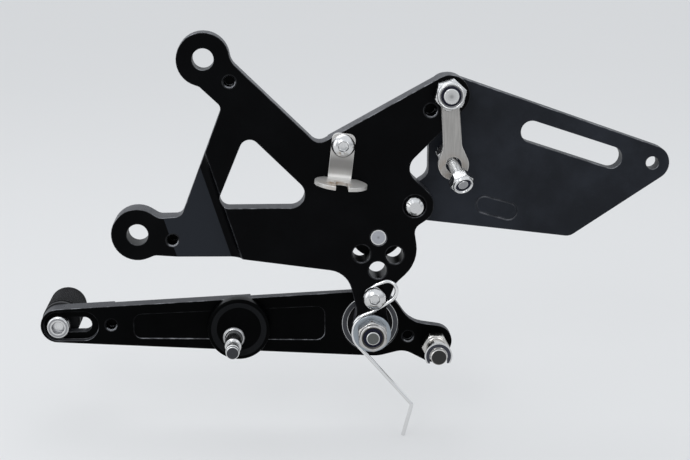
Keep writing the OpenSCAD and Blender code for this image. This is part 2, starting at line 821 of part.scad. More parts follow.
// Stud at the tail of the lever.
module tail_stud() {
    y1 = lever_y - stud_l;
    color(steel) {
        intersection() {
            hexbar(stud_at, lever_y - 7, lever_y, stud_af, -2);
            turned(stud_at, [[0, lever_y], [stud_af * 0.6, lever_y], [stud_af * 0.6, lever_y - 6],
                [stud_af * 0.47, lever_y - 7], [0, lever_y - 7]]);
        }
        turned(stud_at, [[0, y1], [3.4, y1], [3.9, y1 + 0.5], [3.9, y1 + 2.0], [3.1, y1 + 2.0],
            [3.1, y1 + 3.1], [3.9, y1 + 3.1], [3.9, lever_y - 9], [5.4, lever_y - 7],
            [5.4, lever_y - 6.5], [0, lever_y - 6.5]]);
        rod(stud_at, lever_y - 1, lever_y + web_t + 0.6, m6_d / 2);
    }
}

// Snap ring in the groove of the tail stud.
module retaining_clip() {
    y1 = lever_y - stud_l;
    color(steel)
    difference() {
        rod(stud_at, y1 + 2.1, y1 + 3.0, 6.7);
        rod(stud_at, y1 + 1, y1 + 4, 3.15);
        translate([stud_at[0] - 4.1, y1 + 1, stud_at[1] - 12.9])
            cube([8.2, 4, 12]);
        translate([stud_at[0] - 8, y1 + 1, stud_at[1] - 15.6])
            cube([16, 4, 12]);
    }
}

// Toe peg behind the lever.
module toe_peg() {
    y0 = lever_y + toe_t;
    r = toe_peg_d / 2;
    color(black)
    difference() {
        turned(toe, [[0, y0], [r - 0.8, y0], [r, y0 + 0.8], [r, y0 + 3], [r - 0.8, y0 + 3.6],
            [r - 0.8, y0 + 4.6], [r, y0 + 5.2], [r, y0 + toe_peg_l - 1],
            [r - 1, y0 + toe_peg_l], [0, y0 + toe_peg_l]]);
        rod(toe, y0 - 1, y0 + 16, m6_d / 2);
    }
}

// Bolt that clamps the toe peg in the slot.
module toe_peg_bolt() {
    seat = lever_y + recess_d;
    color(steel) {
        difference() {
            turned(toe, [[0, seat], [5.4, seat], [5.4, seat - 4.6], [4.8, seat - 5.4],
                [0, seat - 5.4]]);
            hexbar(toe, seat - 7, seat - 2.4, 5, 10);
        }
        rod(toe, seat - 1, lever_y + toe_t + 15, m6_d / 2);
    }
}

main_plate();
heel_guard();
foot_peg();
peg_bolt();
guard_bolt();
stay_bolt();
stay_nut();
stay_nut_ring();
stay_link();
link_bolt();
link_nut();
link_nut_ring();
switch_bracket();
switch_screw();
spring_screw();
return_spring();
spring_bush();
pivot_bolt();
pivot_sleeve();
pivot_washer();
pivot_nut();
pivot_nut_ring();
bearing_inner();
bearing_outer();
bearing_balls();
bearing_shield();
brake_lever();
post_collar();
spring_post();
tail_stud();
retaining_clip();
toe_peg();
toe_peg_bolt();
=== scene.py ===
"""Rear set, brake side, seen from the frame side: finishes, fine shapes, light and camera.

Lengths are in millimetres in the frame of the CAD, where X runs to the rear, Y outward and Z up,
and they become metres when a mesh is made. Fine shapes are grids of points worked out with numpy.
"""

import logging
import math
from dataclasses import dataclass
from enum import Enum

import bmesh
import bpy
import numpy as np
from mathutils import Matrix, Vector


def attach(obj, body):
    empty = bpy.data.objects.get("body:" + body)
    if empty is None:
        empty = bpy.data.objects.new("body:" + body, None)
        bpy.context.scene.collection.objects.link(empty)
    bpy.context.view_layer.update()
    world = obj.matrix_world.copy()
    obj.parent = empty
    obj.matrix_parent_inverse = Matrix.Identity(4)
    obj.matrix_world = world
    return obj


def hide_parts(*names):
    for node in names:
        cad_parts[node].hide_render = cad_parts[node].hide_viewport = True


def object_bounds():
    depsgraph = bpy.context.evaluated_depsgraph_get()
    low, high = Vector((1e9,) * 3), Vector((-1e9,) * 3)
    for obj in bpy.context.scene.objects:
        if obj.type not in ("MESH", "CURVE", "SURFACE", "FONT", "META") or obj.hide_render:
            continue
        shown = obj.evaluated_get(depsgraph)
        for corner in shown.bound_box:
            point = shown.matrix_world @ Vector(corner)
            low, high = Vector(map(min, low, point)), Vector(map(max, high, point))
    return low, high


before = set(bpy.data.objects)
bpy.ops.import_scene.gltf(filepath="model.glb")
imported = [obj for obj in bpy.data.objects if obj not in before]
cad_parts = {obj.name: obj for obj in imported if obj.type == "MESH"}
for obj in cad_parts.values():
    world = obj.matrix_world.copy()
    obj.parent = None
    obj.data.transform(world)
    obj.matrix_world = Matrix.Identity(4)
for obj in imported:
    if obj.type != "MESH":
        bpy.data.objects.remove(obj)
cad_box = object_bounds()
log = logging.getLogger("rear_set")

Socket = bpy.types.NodeSocket
Point = tuple[float, float, float]
Colour = tuple[float, float, float]

MM = 0.001
TAU = 2 * math.pi

# Depths along Y where pieces seat or end, and thicknesses
LEVER_Y = 11.0
GUARD_Y = 12.0
GUARD_T = 8.0
PEG_Y = 14.0
PEG_END = 0.1
LEVER_T = 9.3
LINK_T = 3.0
BUSH_T = 4.3
WASHER_T = 1.6
NUT_H = 7.4

# Places in the plane of the plate, as X and Z
STAY = (113.6, -16.3)
LOBE = (98.2, -69.9)
PEG_AT = (81.15, -84.9)
PIVOT = (78.0, -130.6)
TOE = (-72.6, -130.2)
EYE = (116.0, -49.7)
SWITCH_AT = (64.4, -40.3)
HOOK_AT = (79.2, -114.1)
POST_AT = (11.9, -135.2)
COLLAR_AT = (14.4, -130.8)
STUD_AT = (109.6, -141.3)

# The loose bolt in the eye: its turns in degrees, its length under the head, and how far the head
# stands off the eye
LOOSE_TURNS = ((90, "X"), (-65.5, "Z"), (35, "Y"))
LOOSE_L = 22.0
LOOSE_SEAT = 6.4

# Direction from which edges and chamfers catch a painted highlight, and a socket without painted
# shade
LIT_FROM = (-0.35, 0.0, 0.94)
NO_WALLS = (0.0, 0.0, 0.0, 0.0)

# Milled edges: the angle in degrees past which one is sharp, how far a point on the wall of a hole
# may be off it, and how deep below the front of a hole its rim may reach
SHARP = 32.0
WALL_SLACK = 0.12
RIM_DEPTH = 1.8

# Points on each bend of the wire, and depth of the knurl
ARC_POINTS = 14
KNURL_DEPTH = 0.5


class Slot(Enum):
    """Material slots of the part's record."""

    PLATE = "plate_black"
    GUARD = "guard_black"
    GRIP = "grip_black"
    STEEL = "stainless"
    LINK = "link_steel"
    NYLON = "nylon_navy"
    SEAL = "seal_grey"


class Body(Enum):
    """Bodies that pieces ride on."""

    BASE = "base"
    LEVER = "lever"
    TOE = "toe"


def at_depth(place: tuple, y: float) -> Point:
    """Point at the depth y, over a place of the plate."""
    return (place[0], y, place[1])


def shown(name: str, data: bpy.types.ID) -> bpy.types.Object:
    """Links an object to the scene.

    Args:
        name: Name of the object.
        data: Mesh, light or camera that it holds.
    Returns:
        The object.
    """
    made = bpy.data.objects.new(name, data)
    bpy.context.scene.collection.objects.link(made)
    return made


# Node graphs


class Graph:
    """The node graph of a material or of the world, with one short method for each kind of node."""

    def __init__(self, owner: bpy.types.Material | bpy.types.World) -> None:
        """Starts an empty graph.

        Args:
            owner: Material or world that the graph belongs to.
        """
        self.owner = owner
        owner.use_nodes = True
        self.tree = owner.node_tree
        self.tree.nodes.clear()
        outputs = self.add("TexCoord", {}).outputs
        self.place, self.normal, self.way = (outputs[k] for k in ("Object", "Normal", "Generated"))

    def add(self, kind: str, inputs: dict, **settings: object) -> bpy.types.Node:
        """Adds a node, sets its properties and then feeds its inputs.

        Args:
            kind: Blender's name of the node type, after the word ShaderNode.
            inputs: For the name or number of an input, an output of another node or a plain value.
            **settings: Properties of the node.
        Returns:
            The node.
        """
        made = self.tree.nodes.new("ShaderNode" + kind)
        for key, value in settings.items():
            setattr(made, key, value)
        for key, value in inputs.items():
            socket = made.inputs[key]
            if isinstance(value, bpy.types.NodeSocket):
                self.tree.links.new(value, socket)
            elif socket.type == "RGBA":
                socket.default_value = (*value, 1.0)
            else:
                socket.default_value = value
        return made

    def stretched(self, stretch: Point, turn: Point) -> Socket:
        """Object coordinates turned by angles in radians and then scaled."""
        inputs = {"Vector": self.place, "Rotation": turn, "Scale": stretch}
        return self.add("Mapping", inputs).outputs["Vector"]

    def noise(self, scale: float, detail: float = 4.0, rough: float = 0.55,
              at: Socket | None = None) -> Socket:
        """Noise from 0 to 1 with scale bumps to the metre, on object coordinates or on others."""
        inputs = {"Vector": at or self.place, "Scale": scale, "Detail": detail, "Roughness": rough}
        return self.add("TexNoise", inputs).outputs["Fac"]

    def lines(self, value: Socket, scale: float) -> Socket:
        """Noise along one number only, as the marks of a turning tool."""
        inputs = {"W": value, "Scale": scale, "Detail": 3.0}
        return self.add("TexNoise", inputs, noise_dimensions="1D").outputs["Fac"]

    def cells(self, scale: float) -> Socket:
        """Distance to the nearest point of a scatter, as grain of a blasted face."""
        return self.add("TexVoronoi", {"Vector": self.place, "Scale": scale}).outputs["Distance"]

    def attribute(self, name: str) -> Socket:
        """A number stored on the piece's mesh."""
        return self.add("Attribute", {}, attribute_name=name).outputs["Fac"]

    def toward(self, vector: Socket, way: Point) -> Socket:
        """How far a vector points along a direction: their dot product."""
        return self.add("VectorMath", {0: vector, 1: way}, operation="DOT_PRODUCT").outputs["Value"]

    def away(self, centre: Point) -> Socket:
        """Distance in metres from a point given in millimetres."""
        inputs = {0: self.place, 1: tuple(c * MM for c in centre)}
        return self.add("VectorMath", inputs, operation="DISTANCE").outputs["Value"]

    def math(self, kind: str, a: Socket | float, b: Socket | float, clamp: bool = False) -> Socket:
        """Result of an arithmetic operation, held between 0 and 1 where clamp is true."""
        return self.add("Math", {0: a, 1: b}, operation=kind, use_clamp=clamp).outputs[0]

    def spread(self, value: Socket, low: float, high: float, to_low: float, to_high: float,
               curve: str = "SMOOTHSTEP") -> Socket:
        """Maps low..high to to_low..to_high on a smooth or LINEAR curve, and holds it outside."""
        inputs = dict(enumerate((value, low, high, to_low, to_high)))
        return self.add("MapRange", inputs, interpolation_type=curve).outputs[0]

    def band(self, value: Socket, low: float, high: float, soft: float) -> Socket:
        """1 between low and high and 0 outside, with edges that are twice soft wide."""
        return self.math("MULTIPLY", self.spread(value, low - soft, low + soft, 0, 1),
                         self.spread(value, high - soft, high + soft, 1, 0))

    def blend(self, share: Socket, a: Socket | Colour, b: Socket | Colour) -> Socket:
        """Mixes two colours, with the given share of the second."""
        return self.add("Mix", {0: share, 6: a, 7: b}, data_type="RGBA").outputs[2]

    def relief(self, height: Socket, depth: float, strength: float) -> Socket:
        """Normal bumped by a height from 0 to 1, where 1 stands for a depth in metres."""
        inputs = {"Strength": strength, "Distance": depth, "Height": height}
        return self.add("Bump", inputs).outputs["Normal"]

    def glow(self, kind: str, colour: Colour, strength: float | Socket) -> Socket:
        """An emitter: the kind Emission on a surface, and Background in the world."""
        return self.add(kind, {"Color": colour, "Strength": strength}).outputs[0]

    def seen(self) -> Socket:
        """1 for what the camera or a mirror sees, and 0 for light that falls on the part."""
        ray = self.add("LightPath", {}).outputs
        return self.math("MAXIMUM", ray["Is Camera Ray"], ray["Is Glossy Ray"])

    def mixed(self, share: Socket, a: Socket, b: Socket) -> Socket:
        """Mixes two shaders, with the given share of the second."""
        return self.add("MixShader", {0: share, 1: a, 2: b}).outputs[0]

    def surface(self, **sockets: object) -> Socket:
        """The surface shader, fed by the names of its sockets with underscores for spaces."""
        inputs = {key.replace("_", " "): value for key, value in sockets.items()}
        return self.add("BsdfPrincipled", inputs).outputs["BSDF"]

    def end(self, shader: Socket) -> bpy.types.Material | bpy.types.World:
        """Closes the graph with its output.

        Args:
            shader: Shader of the surface or of the world.
        Returns:
            The finished material or world.
        """
        is_world = isinstance(self.owner, bpy.types.World)
        self.add("OutputWorld" if is_world else "OutputMaterial", {"Surface": shader})
        return self.owner


# Finishes


@dataclass(frozen=True)
class Anodised:
    """Blasted and anodised aluminium: matt grain, faint hand marks, worn edges and painted light.

    Mesh attributes choose the colour: side paints a sheen, as of light at a glancing angle, on walls
    cut square to the face; shade paints a lighter tone, as if lit, on coarsely milled faces and on
    the collar's cone; wear_and_glint marks broken edges and chamfers. Edges that face the light get
    a painted highlight at the strength lip, the others are worn at the strength wear_and_glint.
    """

    name: str
    colour: Colour = (0.0011, 0.0012, 0.0015)
    # Edge colour: worn edges, with a painted highlight where the edge faces the light
    rubbed_and_lit: Colour = (0.34, 0.35, 0.375)
    # Painted light: milled is a lighter tone, as if lit, for the plate's ramp and the collar's cone
    milled: Colour = (0.019, 0.0215, 0.0265)
    # Painted sheen: side lightens walls cut square to the face, as light caught at a glancing angle
    # would
    side: Colour = (0.042, 0.043, 0.050)
    shine: float = 0.04
    smooth: float = 0.26
    matt: float = 0.38
    grain: float = 0.16
    wear_and_glint: float = 0.09
    lip: float = 1.0

    def make(self) -> bpy.types.Material:
        """Builds the material.

        Returns:
            The material.
        """
        g = Graph(bpy.data.materials.new(self.name))
        cloudy = g.noise(28, 5, 0.6)
        fine = g.noise(2600, 2, 0.5)
        marks = g.noise(60, 6, 0.7, g.stretched((9, 1, 0.9), (0, 0.35, 0)))
        # Painted highlight: edges that face the light get more of the edge colour than the others
        lip = g.spread(g.toward(g.normal, LIT_FROM), 0.15, 0.75, self.wear_and_glint, self.lip)
        edge = g.math("MULTIPLY", g.attribute("wear_and_glint"),
                      g.spread(g.noise(170, 3), 0.42, 0.66, 0.25, 1))
        edge = g.math("MULTIPLY", edge, lip, clamp=True)
        deep = tuple(c * 0.8 for c in self.colour)
        pale = tuple(c * 1.5 + 0.0003 for c in self.colour)
        speck = tuple(c * 3 for c in self.colour)
        colour = g.blend(g.spread(cloudy, 0.35, 0.7, 0, 1), deep, pale)
        colour = g.blend(g.spread(fine, 0.62, 0.78, 0, 0.5), colour, speck)
        # Painted light: a lighter tone where the attribute shade is set
        colour = g.blend(g.attribute("shade"), colour, self.milled)
        # Painted sheen on walls cut square to the face
        colour = g.blend(g.attribute("side"), colour, self.side)
        colour = g.blend(edge, colour, self.rubbed_and_lit)
        rough = g.math("ADD", g.spread(cloudy, 0.3, 0.72, self.matt, self.smooth),
                       g.spread(marks, 0.5, 0.75, 0, 0.09))
        rough = g.math("SUBTRACT", rough, g.math("MULTIPLY", edge, 0.08), clamp=True)
        grain = g.math("ADD", g.math("MULTIPLY", g.cells(1500), 0.6), fine)
        return g.end(g.surface(Base_Color=colour, Roughness=rough, Specular_IOR_Level=self.shine,
                               Normal=g.relief(grain, 0.00001, self.grain)))


@dataclass(frozen=True)
class Steel:
    """Turned stainless steel: fine tool marks that follow the mesh attribute lap.

    The colour dark shows where the mesh attribute shade is set, at the strength shade, and from
    dark_from to dark_to millimetres round the point dark_at, with soft edges. A spot of that radius
    darkens the middle further. On most pieces dark is painted shade in hollows, and a painted dark
    reflection on end faces and hexagon flats.
    """

    name: str
    colour: Colour = (0.70, 0.70, 0.695)
    shadow: Colour = (0.58, 0.58, 0.585)
    smooth: float = 0.13
    matt: float = 0.22
    marks: float = 0.10
    # On most pieces dark paints shade in hollows and a dark reflection on end faces and flats
    dark: Colour = (0.055, 0.056, 0.062)
    dark_at: Point = (0.0, 0.0, 0.0)
    dark_from: float = 0.0
    dark_to: float = 0.0
    soft: float = 0.08
    spot: float = 0.0
    shade: float = 0.92

    def make(self) -> bpy.types.Material:
        """Builds the material.

        Returns:
            The material.
        """
        g = Graph(bpy.data.materials.new(self.name))
        marks = g.lines(g.attribute("lap"), 2.4)
        cloudy = g.noise(85, 3, 0.5)
        colour = g.blend(g.spread(marks, 0.4, 0.7, 0, 0.6), self.colour, self.shadow)
        colour = g.blend(g.spread(cloudy, 0.45, 0.8, 0, 0.35), colour, self.shadow)
        colour = g.blend(g.math("MULTIPLY", g.attribute("shade"), self.shade), colour, self.dark)
        rough = g.math("ADD", g.spread(cloudy, 0.3, 0.7, self.smooth, self.matt),
                       g.spread(marks, 0.45, 0.7, 0, 0.05))
        if self.dark_to > 0:
            far = g.away(self.dark_at)
            dark = g.band(far, self.dark_from * MM, self.dark_to * MM, self.soft * MM)
            colour = g.blend(dark, colour, self.dark)
            if self.spot > 0:
                middle = g.spread(far, 0.1 * MM, self.spot * MM, 0.75, 0)
                colour = g.blend(middle, colour, tuple(c * 0.45 for c in self.dark))
            rough = g.math("ADD", rough, g.math("MULTIPLY", dark, 0.2), clamp=True)
        return g.end(g.surface(Base_Color=colour, Roughness=rough, Metallic=1.0,
                               Normal=g.relief(marks, 0.000006, self.marks)))


@dataclass(frozen=True)
class SheetSteel:
    """Rolled sheet: brushed along one direction, with a brown stain round one place.

    The stain has the radius stain_r round stained_at and the strength stained. On a sheet that is
    folded, a painted highlight lies along the fold at the height bend, and painted shade in a band
    above it.
    """

    name: str
    colour: Colour = (0.43, 0.42, 0.405)
    shadow: Colour = (0.36, 0.352, 0.34)
    stain: Colour = (0.24, 0.15, 0.075)
    bare: Colour = (0.74, 0.735, 0.72)
    stained_at: Point = (0.0, 0.0, 0.0)
    stain_r: float = 8.0
    stained: float = 0.75
    turn: float = 0.0
    smooth: float = 0.30
    matt: float = 0.46
    metal: float = 1.0
    # A painted highlight along the fold and painted shade above it, at the height bend
    bend: float = 0.0
    fold_up: Point = (0.113, 0.0, 0.994)
    fold_glint: Colour = (0.95, 0.94, 0.92)

    def make(self) -> bpy.types.Material:
        """Builds the material.

        Returns:
            The material.
        """
        g = Graph(bpy.data.materials.new(self.name))
        brushed = g.noise(2200, 3, 0.5, g.stretched((1.6, 1.0, 0.05), (0, self.turn, 0)))
        cloudy = g.noise(150, 5, 0.6)
        colour = g.blend(g.spread(brushed, 0.34, 0.68, 0, 1), self.shadow, self.colour)
        colour = g.blend(g.spread(cloudy, 0.45, 0.75, 0, 0.35), colour, self.shadow)
        near = g.spread(g.away(self.stained_at), self.stain_r * MM * 0.35, self.stain_r * MM, 1, 0)
        patchy = g.math("MULTIPLY", near, g.spread(g.noise(260, 5, 0.65), 0.36, 0.62, 0, 1))
        # Painted shade in a band above the fold, and a painted highlight along it
        if self.bend:
            low, rise = self.bend * MM, g.toward(g.place, self.fold_up)
            shaded = tuple(c * 0.45 for c in self.shadow)
            colour = g.blend(g.band(rise, low + 0.0035, low + 0.0105, 0.0025), colour, shaded)
            colour = g.blend(g.band(rise, low + 0.0002, low + 0.0018, 0.0008), colour,
                             self.fold_glint)
        colour = g.blend(g.math("MULTIPLY", patchy, self.stained), colour, self.stain)
        colour = g.blend(g.math("MULTIPLY", g.attribute("wear_and_glint"), 0.6), colour, self.bare)
        rough = g.math("ADD", g.spread(brushed, 0.3, 0.7, self.smooth, self.matt),
                       g.math("MULTIPLY", patchy, 0.16), clamp=True)
        metal = g.math("SUBTRACT", self.metal, g.math("MULTIPLY", patchy, 0.45), clamp=True)
        return g.end(g.surface(Base_Color=colour, Roughness=rough, Metallic=metal,
                               Normal=g.relief(brushed, 0.00001, 0.25)))


@dataclass(frozen=True)
class Moulded:
    """Nylon or rubber: fine moulded grain with scuffs."""

    name: str
    colour: Colour
    pale: Colour
    smooth: float
    matt: float
    grain: float = 0.2
    shine: float = 0.2

    def make(self) -> bpy.types.Material:
        """Builds the material.

        Returns:
            The material.
        """
        g = Graph(bpy.data.materials.new(self.name))
        cloudy = g.noise(700, 4, 0.6)
        fine = g.noise(3600, 2, 0.5)
        colour = g.blend(g.spread(cloudy, 0.4, 0.75, 0, 1), self.colour, self.pale)
        rough = g.spread(cloudy, 0.3, 0.7, self.smooth, self.matt)
        return g.end(g.surface(Base_Color=colour, Roughness=rough, Specular_IOR_Level=self.shine,
                               Normal=g.relief(fine, 0.00002, self.grain)))


class Finishes:
    """Every finish of the part, made once and found by name."""

    def __init__(self) -> None:
        """Builds the materials."""
        self.aluminium()
        self.fastened()
        self.turned()
        self.sheets_and_mouldings()

    def aluminium(self) -> None:
        """Finishes of the plate, the guard, the lever and the pegs."""
        # Painted light in these finishes: side is a sheen on walls cut square to the face, and
        # milled a lighter tone, as if lit, on the plate's ramp and, in the lever finish, on the
        # collar's cone
        self.plate = Anodised("plate_finish").make()
        self.guard = Anodised("guard_finish", colour=(0.0125, 0.0145, 0.0190),
                              side=(0.016, 0.0185, 0.024), shine=0.10, smooth=0.34,
                              matt=0.46).make()
        self.lever = Anodised("lever_finish", colour=(0.0006, 0.0007, 0.0008),
                              milled=(0.009, 0.0095, 0.0105), side=(0.050, 0.051, 0.057),
                              shine=0.024, smooth=0.24, matt=0.34, wear_and_glint=0.05).make()
        self.grip = Anodised("grip_finish", colour=(0.006, 0.006, 0.007), shine=0.12,
                             smooth=0.36, matt=0.5).make()

    def fastened(self) -> None:
        """Finishes of bolts, screws, nuts and the washer."""
        self.steel = Steel("steel_finish").make()
        # Painted shade on the inner slope of the stay nut's crown
        self.crown = Steel("crown_finish", dark=(0.24, 0.24, 0.25), dark_at=at_depth(STAY, -10.0),
                           dark_from=4.75, dark_to=5.3, soft=0.2).make()
        # Painted shade on the stay bolt's end face, darkest in its middle
        self.stay = Steel("stay_bolt_finish", dark=(0.50, 0.50, 0.50),
                          dark_at=at_depth(STAY, -11.3), dark_to=2.4, soft=0.9, spot=1.5).make()
        # Painted shade on the loose bolt's end in its nut and in the roots of its thread
        self.loose = Steel("loose_bolt_finish", smooth=0.24, matt=0.34, dark=(0.33, 0.33, 0.34),
                           dark_at=(119.4, -13.3, -57.2), dark_to=2.2, soft=0.2,
                           shade=0.35).make()
        self.toe_bolt = Steel("toe_bolt_finish", dark=(0.30, 0.30, 0.31),
                              dark_at=at_depth(TOE, LEVER_Y - 2.2), dark_from=3.75, dark_to=4.65,
                              soft=0.3).make()
        # Painted shade on the peg bolt's end face, darkest in its middle
        self.peg_bolt = Steel("peg_bolt_finish", dark=(0.40, 0.41, 0.44),
                              dark_at=at_depth(PEG_AT, PEG_END), dark_to=3.2, soft=0.25,
                              spot=1.0).make()
        # Darker steel for the pivot nut, with painted shade on the inner slope of its crown and a
        # painted dark reflection on its flats
        self.dull = Steel("dull_and_shaded_steel_finish", colour=(0.56, 0.545, 0.53),
                          shadow=(0.42, 0.41, 0.40), smooth=0.16, matt=0.25,
                          dark=(0.09, 0.085, 0.08), dark_at=at_depth(PIVOT, -12.9), dark_from=4.6,
                          dark_to=5.4, soft=0.2, shade=0.65).make()
        self.washer = Steel("washer_finish", colour=(0.34, 0.375, 0.41),
                            shadow=(0.27, 0.30, 0.33), smooth=0.26, matt=0.36).make()

    def turned(self) -> None:
        """Finishes of the pivot bolt, the post, the stud with its clip, the ring and the wire."""
        # Painted dark reflection on the pivot bolt's end face
        self.pivot = Steel("pivot_bolt_finish", dark=(0.13, 0.135, 0.13),
                           dark_at=at_depth(PIVOT, -14.0), dark_to=2.75).make()
        self.wire = Steel("wire_finish", colour=(0.80, 0.80, 0.80), shadow=(0.72, 0.72, 0.72),
                          smooth=0.10, matt=0.16, marks=0.0).make()
        # Painted dark reflection on the post's end face, and painted shade on its foot
        self.post = Steel("post_finish", smooth=0.19, matt=0.28, dark_at=at_depth(POST_AT, -19.0),
                          dark_to=2.75, shade=0.45).make()
        # Painted dark reflection on the stud's end face and on its hexagon flats
        self.stud = Steel("stud_finish", colour=(0.60, 0.585, 0.56), shadow=(0.48, 0.465, 0.44),
                          smooth=0.19, matt=0.28, dark=(0.045, 0.045, 0.044),
                          dark_at=at_depth(STUD_AT, -11.0), dark_to=3.5, shade=0.85).make()
        self.clip = Steel("clip_finish", dark=(0.058, 0.060, 0.072),
                          dark_at=at_depth(STUD_AT, -8.9), dark_from=4.3, dark_to=5.95).make()
        self.race = Steel("race_finish", dark=(0.06, 0.062, 0.068), dark_at=at_depth(PIVOT, 11.5),
                          dark_from=11.2, dark_to=13.4).make()

    def sheets_and_mouldings(self) -> None:
        """Finishes of the stay link, the switch bracket, the nylon rings and the seal."""
        self.link = SheetSteel("link_finish", colour=(0.40, 0.388, 0.372),
                               shadow=(0.335, 0.325, 0.312), turn=0.04,
                               stained_at=(EYE[0] - 1, -3.0, EYE[1] - 3), stain_r=10.0,
                               stained=0.35).make()
        # Painted highlight along the fold of the bracket and painted shade above it
        self.bracket = SheetSteel("bracket_finish", colour=(0.56, 0.55, 0.535),
                                  shadow=(0.50, 0.485, 0.465), stained_at=(60.5, -14.0, -55.8),
                                  stain_r=9.5, stained=1.0, smooth=0.28, matt=0.4, metal=0.5,
                                  bend=-48.44).make()
        self.nylon = Moulded("nylon_finish", (0.0025, 0.0032, 0.014), (0.004, 0.005, 0.021),
                             0.35, 0.5, grain=0.1).make()
        self.seal = Moulded("seal_finish", (0.004, 0.004, 0.0045), (0.008, 0.008, 0.009),
                            0.5, 0.7, shine=0.08).make()

    def of_slot(self, slot: Slot) -> bpy.types.Material:
        """The usual finish of a slot of the record."""
        return {Slot.PLATE: self.plate, Slot.GUARD: self.guard, Slot.GRIP: self.grip,
                Slot.STEEL: self.steel, Slot.LINK: self.link, Slot.NYLON: self.nylon,
                Slot.SEAL: self.seal}[slot]


# Surfaces


@dataclass(frozen=True)
class Axis:
    """A line that turned shapes stand on: an origin, a direction and one across it."""

    origin: Point
    along: Point = (0.0, 1.0, 0.0)
    across: Point = (1.0, 0.0, 0.0)

    @classmethod
    def at(cls, place: tuple, y: float = 0.0, inward: bool = False) -> "Axis":
        """Axis along Y through a place of the plate, to -Y where inward is true."""
        return cls(at_depth(place, y), (0.0, -1.0 if inward else 1.0, 0.0))

    def points(self, a: np.ndarray, r: np.ndarray, turn: np.ndarray) -> np.ndarray:
        """Places round the axis: origin + a along + r (cos turn, sin turn) across it.

        Args:
            a: Distances along the axis.
            r: Distances from it.
            turn: Angles round it.
        Returns:
            The places, in an array with one more axis of three.
        """
        along, e1 = np.array(self.along), np.array(self.across)
        e2 = np.cross(along, e1)
        a, r, turn = np.broadcast_arrays(a, r, turn)
        return (np.array(self.origin) + a[..., None] * along
                + (r * np.cos(turn))[..., None] * e1 + (r * np.sin(turn))[..., None] * e2)


class Skin:
    """Grid surfaces: rings of points joined to a closed skin."""

    @staticmethod
    def faces(rows: int, columns: int, loop: bool) -> np.ndarray:
        """Four-sided faces between neighbouring rings, closed round each ring.

        Args:
            rows: Number of rings.
            columns: Points on a ring.
            loop: Whether the last ring joins the first.
        Returns:
            Corner numbers, one row to a face.
        """
        i = np.arange(rows if loop else rows - 1)[:, None]
        j = np.arange(columns)[None, :]
        k, n = (i + 1) % rows, (j + 1) % columns
        quads = np.stack([i * columns + j, i * columns + n, k * columns + n, k * columns + j], -1)
        return quads.reshape(-1, 4)

    @staticmethod
    def laps(data: bpy.types.Mesh, axis: Axis, walls: tuple) -> None:
        """Stores lap on each point: its distance from the axis plus 0.37 of that along it, in mm.

        It also stores shade, which is 1 in the zone walls. There the finish paints shade, as on
        the walls of a socket, and on the collar's cone a lighter tone, as if lit.

        Args:
            data: Mesh in metres.
            axis: Axis that the piece was turned on.
            walls: Least and greatest distance along the axis, and from it, of the zone of painted
                shade.
        """
        places = np.empty(len(data.vertices) * 3)
        data.vertices.foreach_get("co", places)
        p = places.reshape(-1, 3) / MM - np.array(axis.origin)
        a = p @ np.array(axis.along)
        r = np.linalg.norm(p - a[:, None] * np.array(axis.along), axis=1)
        low, high, near, far = walls
        shade = ((a > low) & (a < high) & (r > near) & (r < far)).astype(np.float32)
        for name, values in (("lap", r + 0.37 * a), ("shade", shade)):
            data.attributes.new(name, "FLOAT", "POINT").data.foreach_set("value", values)

    @staticmethod
    def mesh(name: str, parts: list, sharp: float = 35.0, axis: Axis | None = None,
             walls: tuple = NO_WALLS) -> bpy.types.Object:
        """Joins several grids to one object, with a flat end on each grid that is no loop.

        Args:
            name: Name of the piece.
            parts: Pairs of a grid (rings, points, 3) in millimetres and whether it is a loop.
            sharp: Angle in degrees past which an edge stays sharp.
            axis: Axis for the tool marks, if the piece is turned.
            walls: Zone of painted shade, such as the walls of its socket, as for laps.
        Returns:
            The object.
        """
        verts, faces, start = [], [], 0
        for grid, loop in parts:
            rows, columns = grid.shape[:2]
            verts.append(grid.reshape(-1, 3))
            faces += (Skin.faces(rows, columns, loop) + start).tolist()
            if not loop:
                last = start + (rows - 1) * columns
                faces.append(list(range(start, start + columns)))
                faces.append(list(range(last, last + columns))[::-1])
            start += rows * columns
        data = bpy.data.meshes.new(name)
        data.from_pydata((np.concatenate(verts) * MM).tolist(), [], faces)
        bm = bmesh.new()
        bm.from_mesh(data)
        bmesh.ops.remove_doubles(bm, verts=bm.verts, dist=2e-6)
        bmesh.ops.recalc_face_normals(bm, faces=bm.faces)
        bm.to_mesh(data)
        bm.free()
        if axis is not None:
            Skin.laps(data, axis, walls)
        return Skin.smooth(name, data, sharp)

    @staticmethod
    def smooth(name: str, data: bpy.types.Mesh, sharp: float) -> bpy.types.Object:
        """Smooths a mesh up to an angle and links an object that holds it.

        Args:
            name: Name of the object.
            data: The mesh.
            sharp: Angle in degrees past which an edge stays sharp.
        Returns:
            The object.
        """
        data.polygons.foreach_set("use_smooth", np.ones(len(data.polygons), bool))
        data.set_sharp_from_angle(angle=math.radians(sharp))
        return shown(name, data)


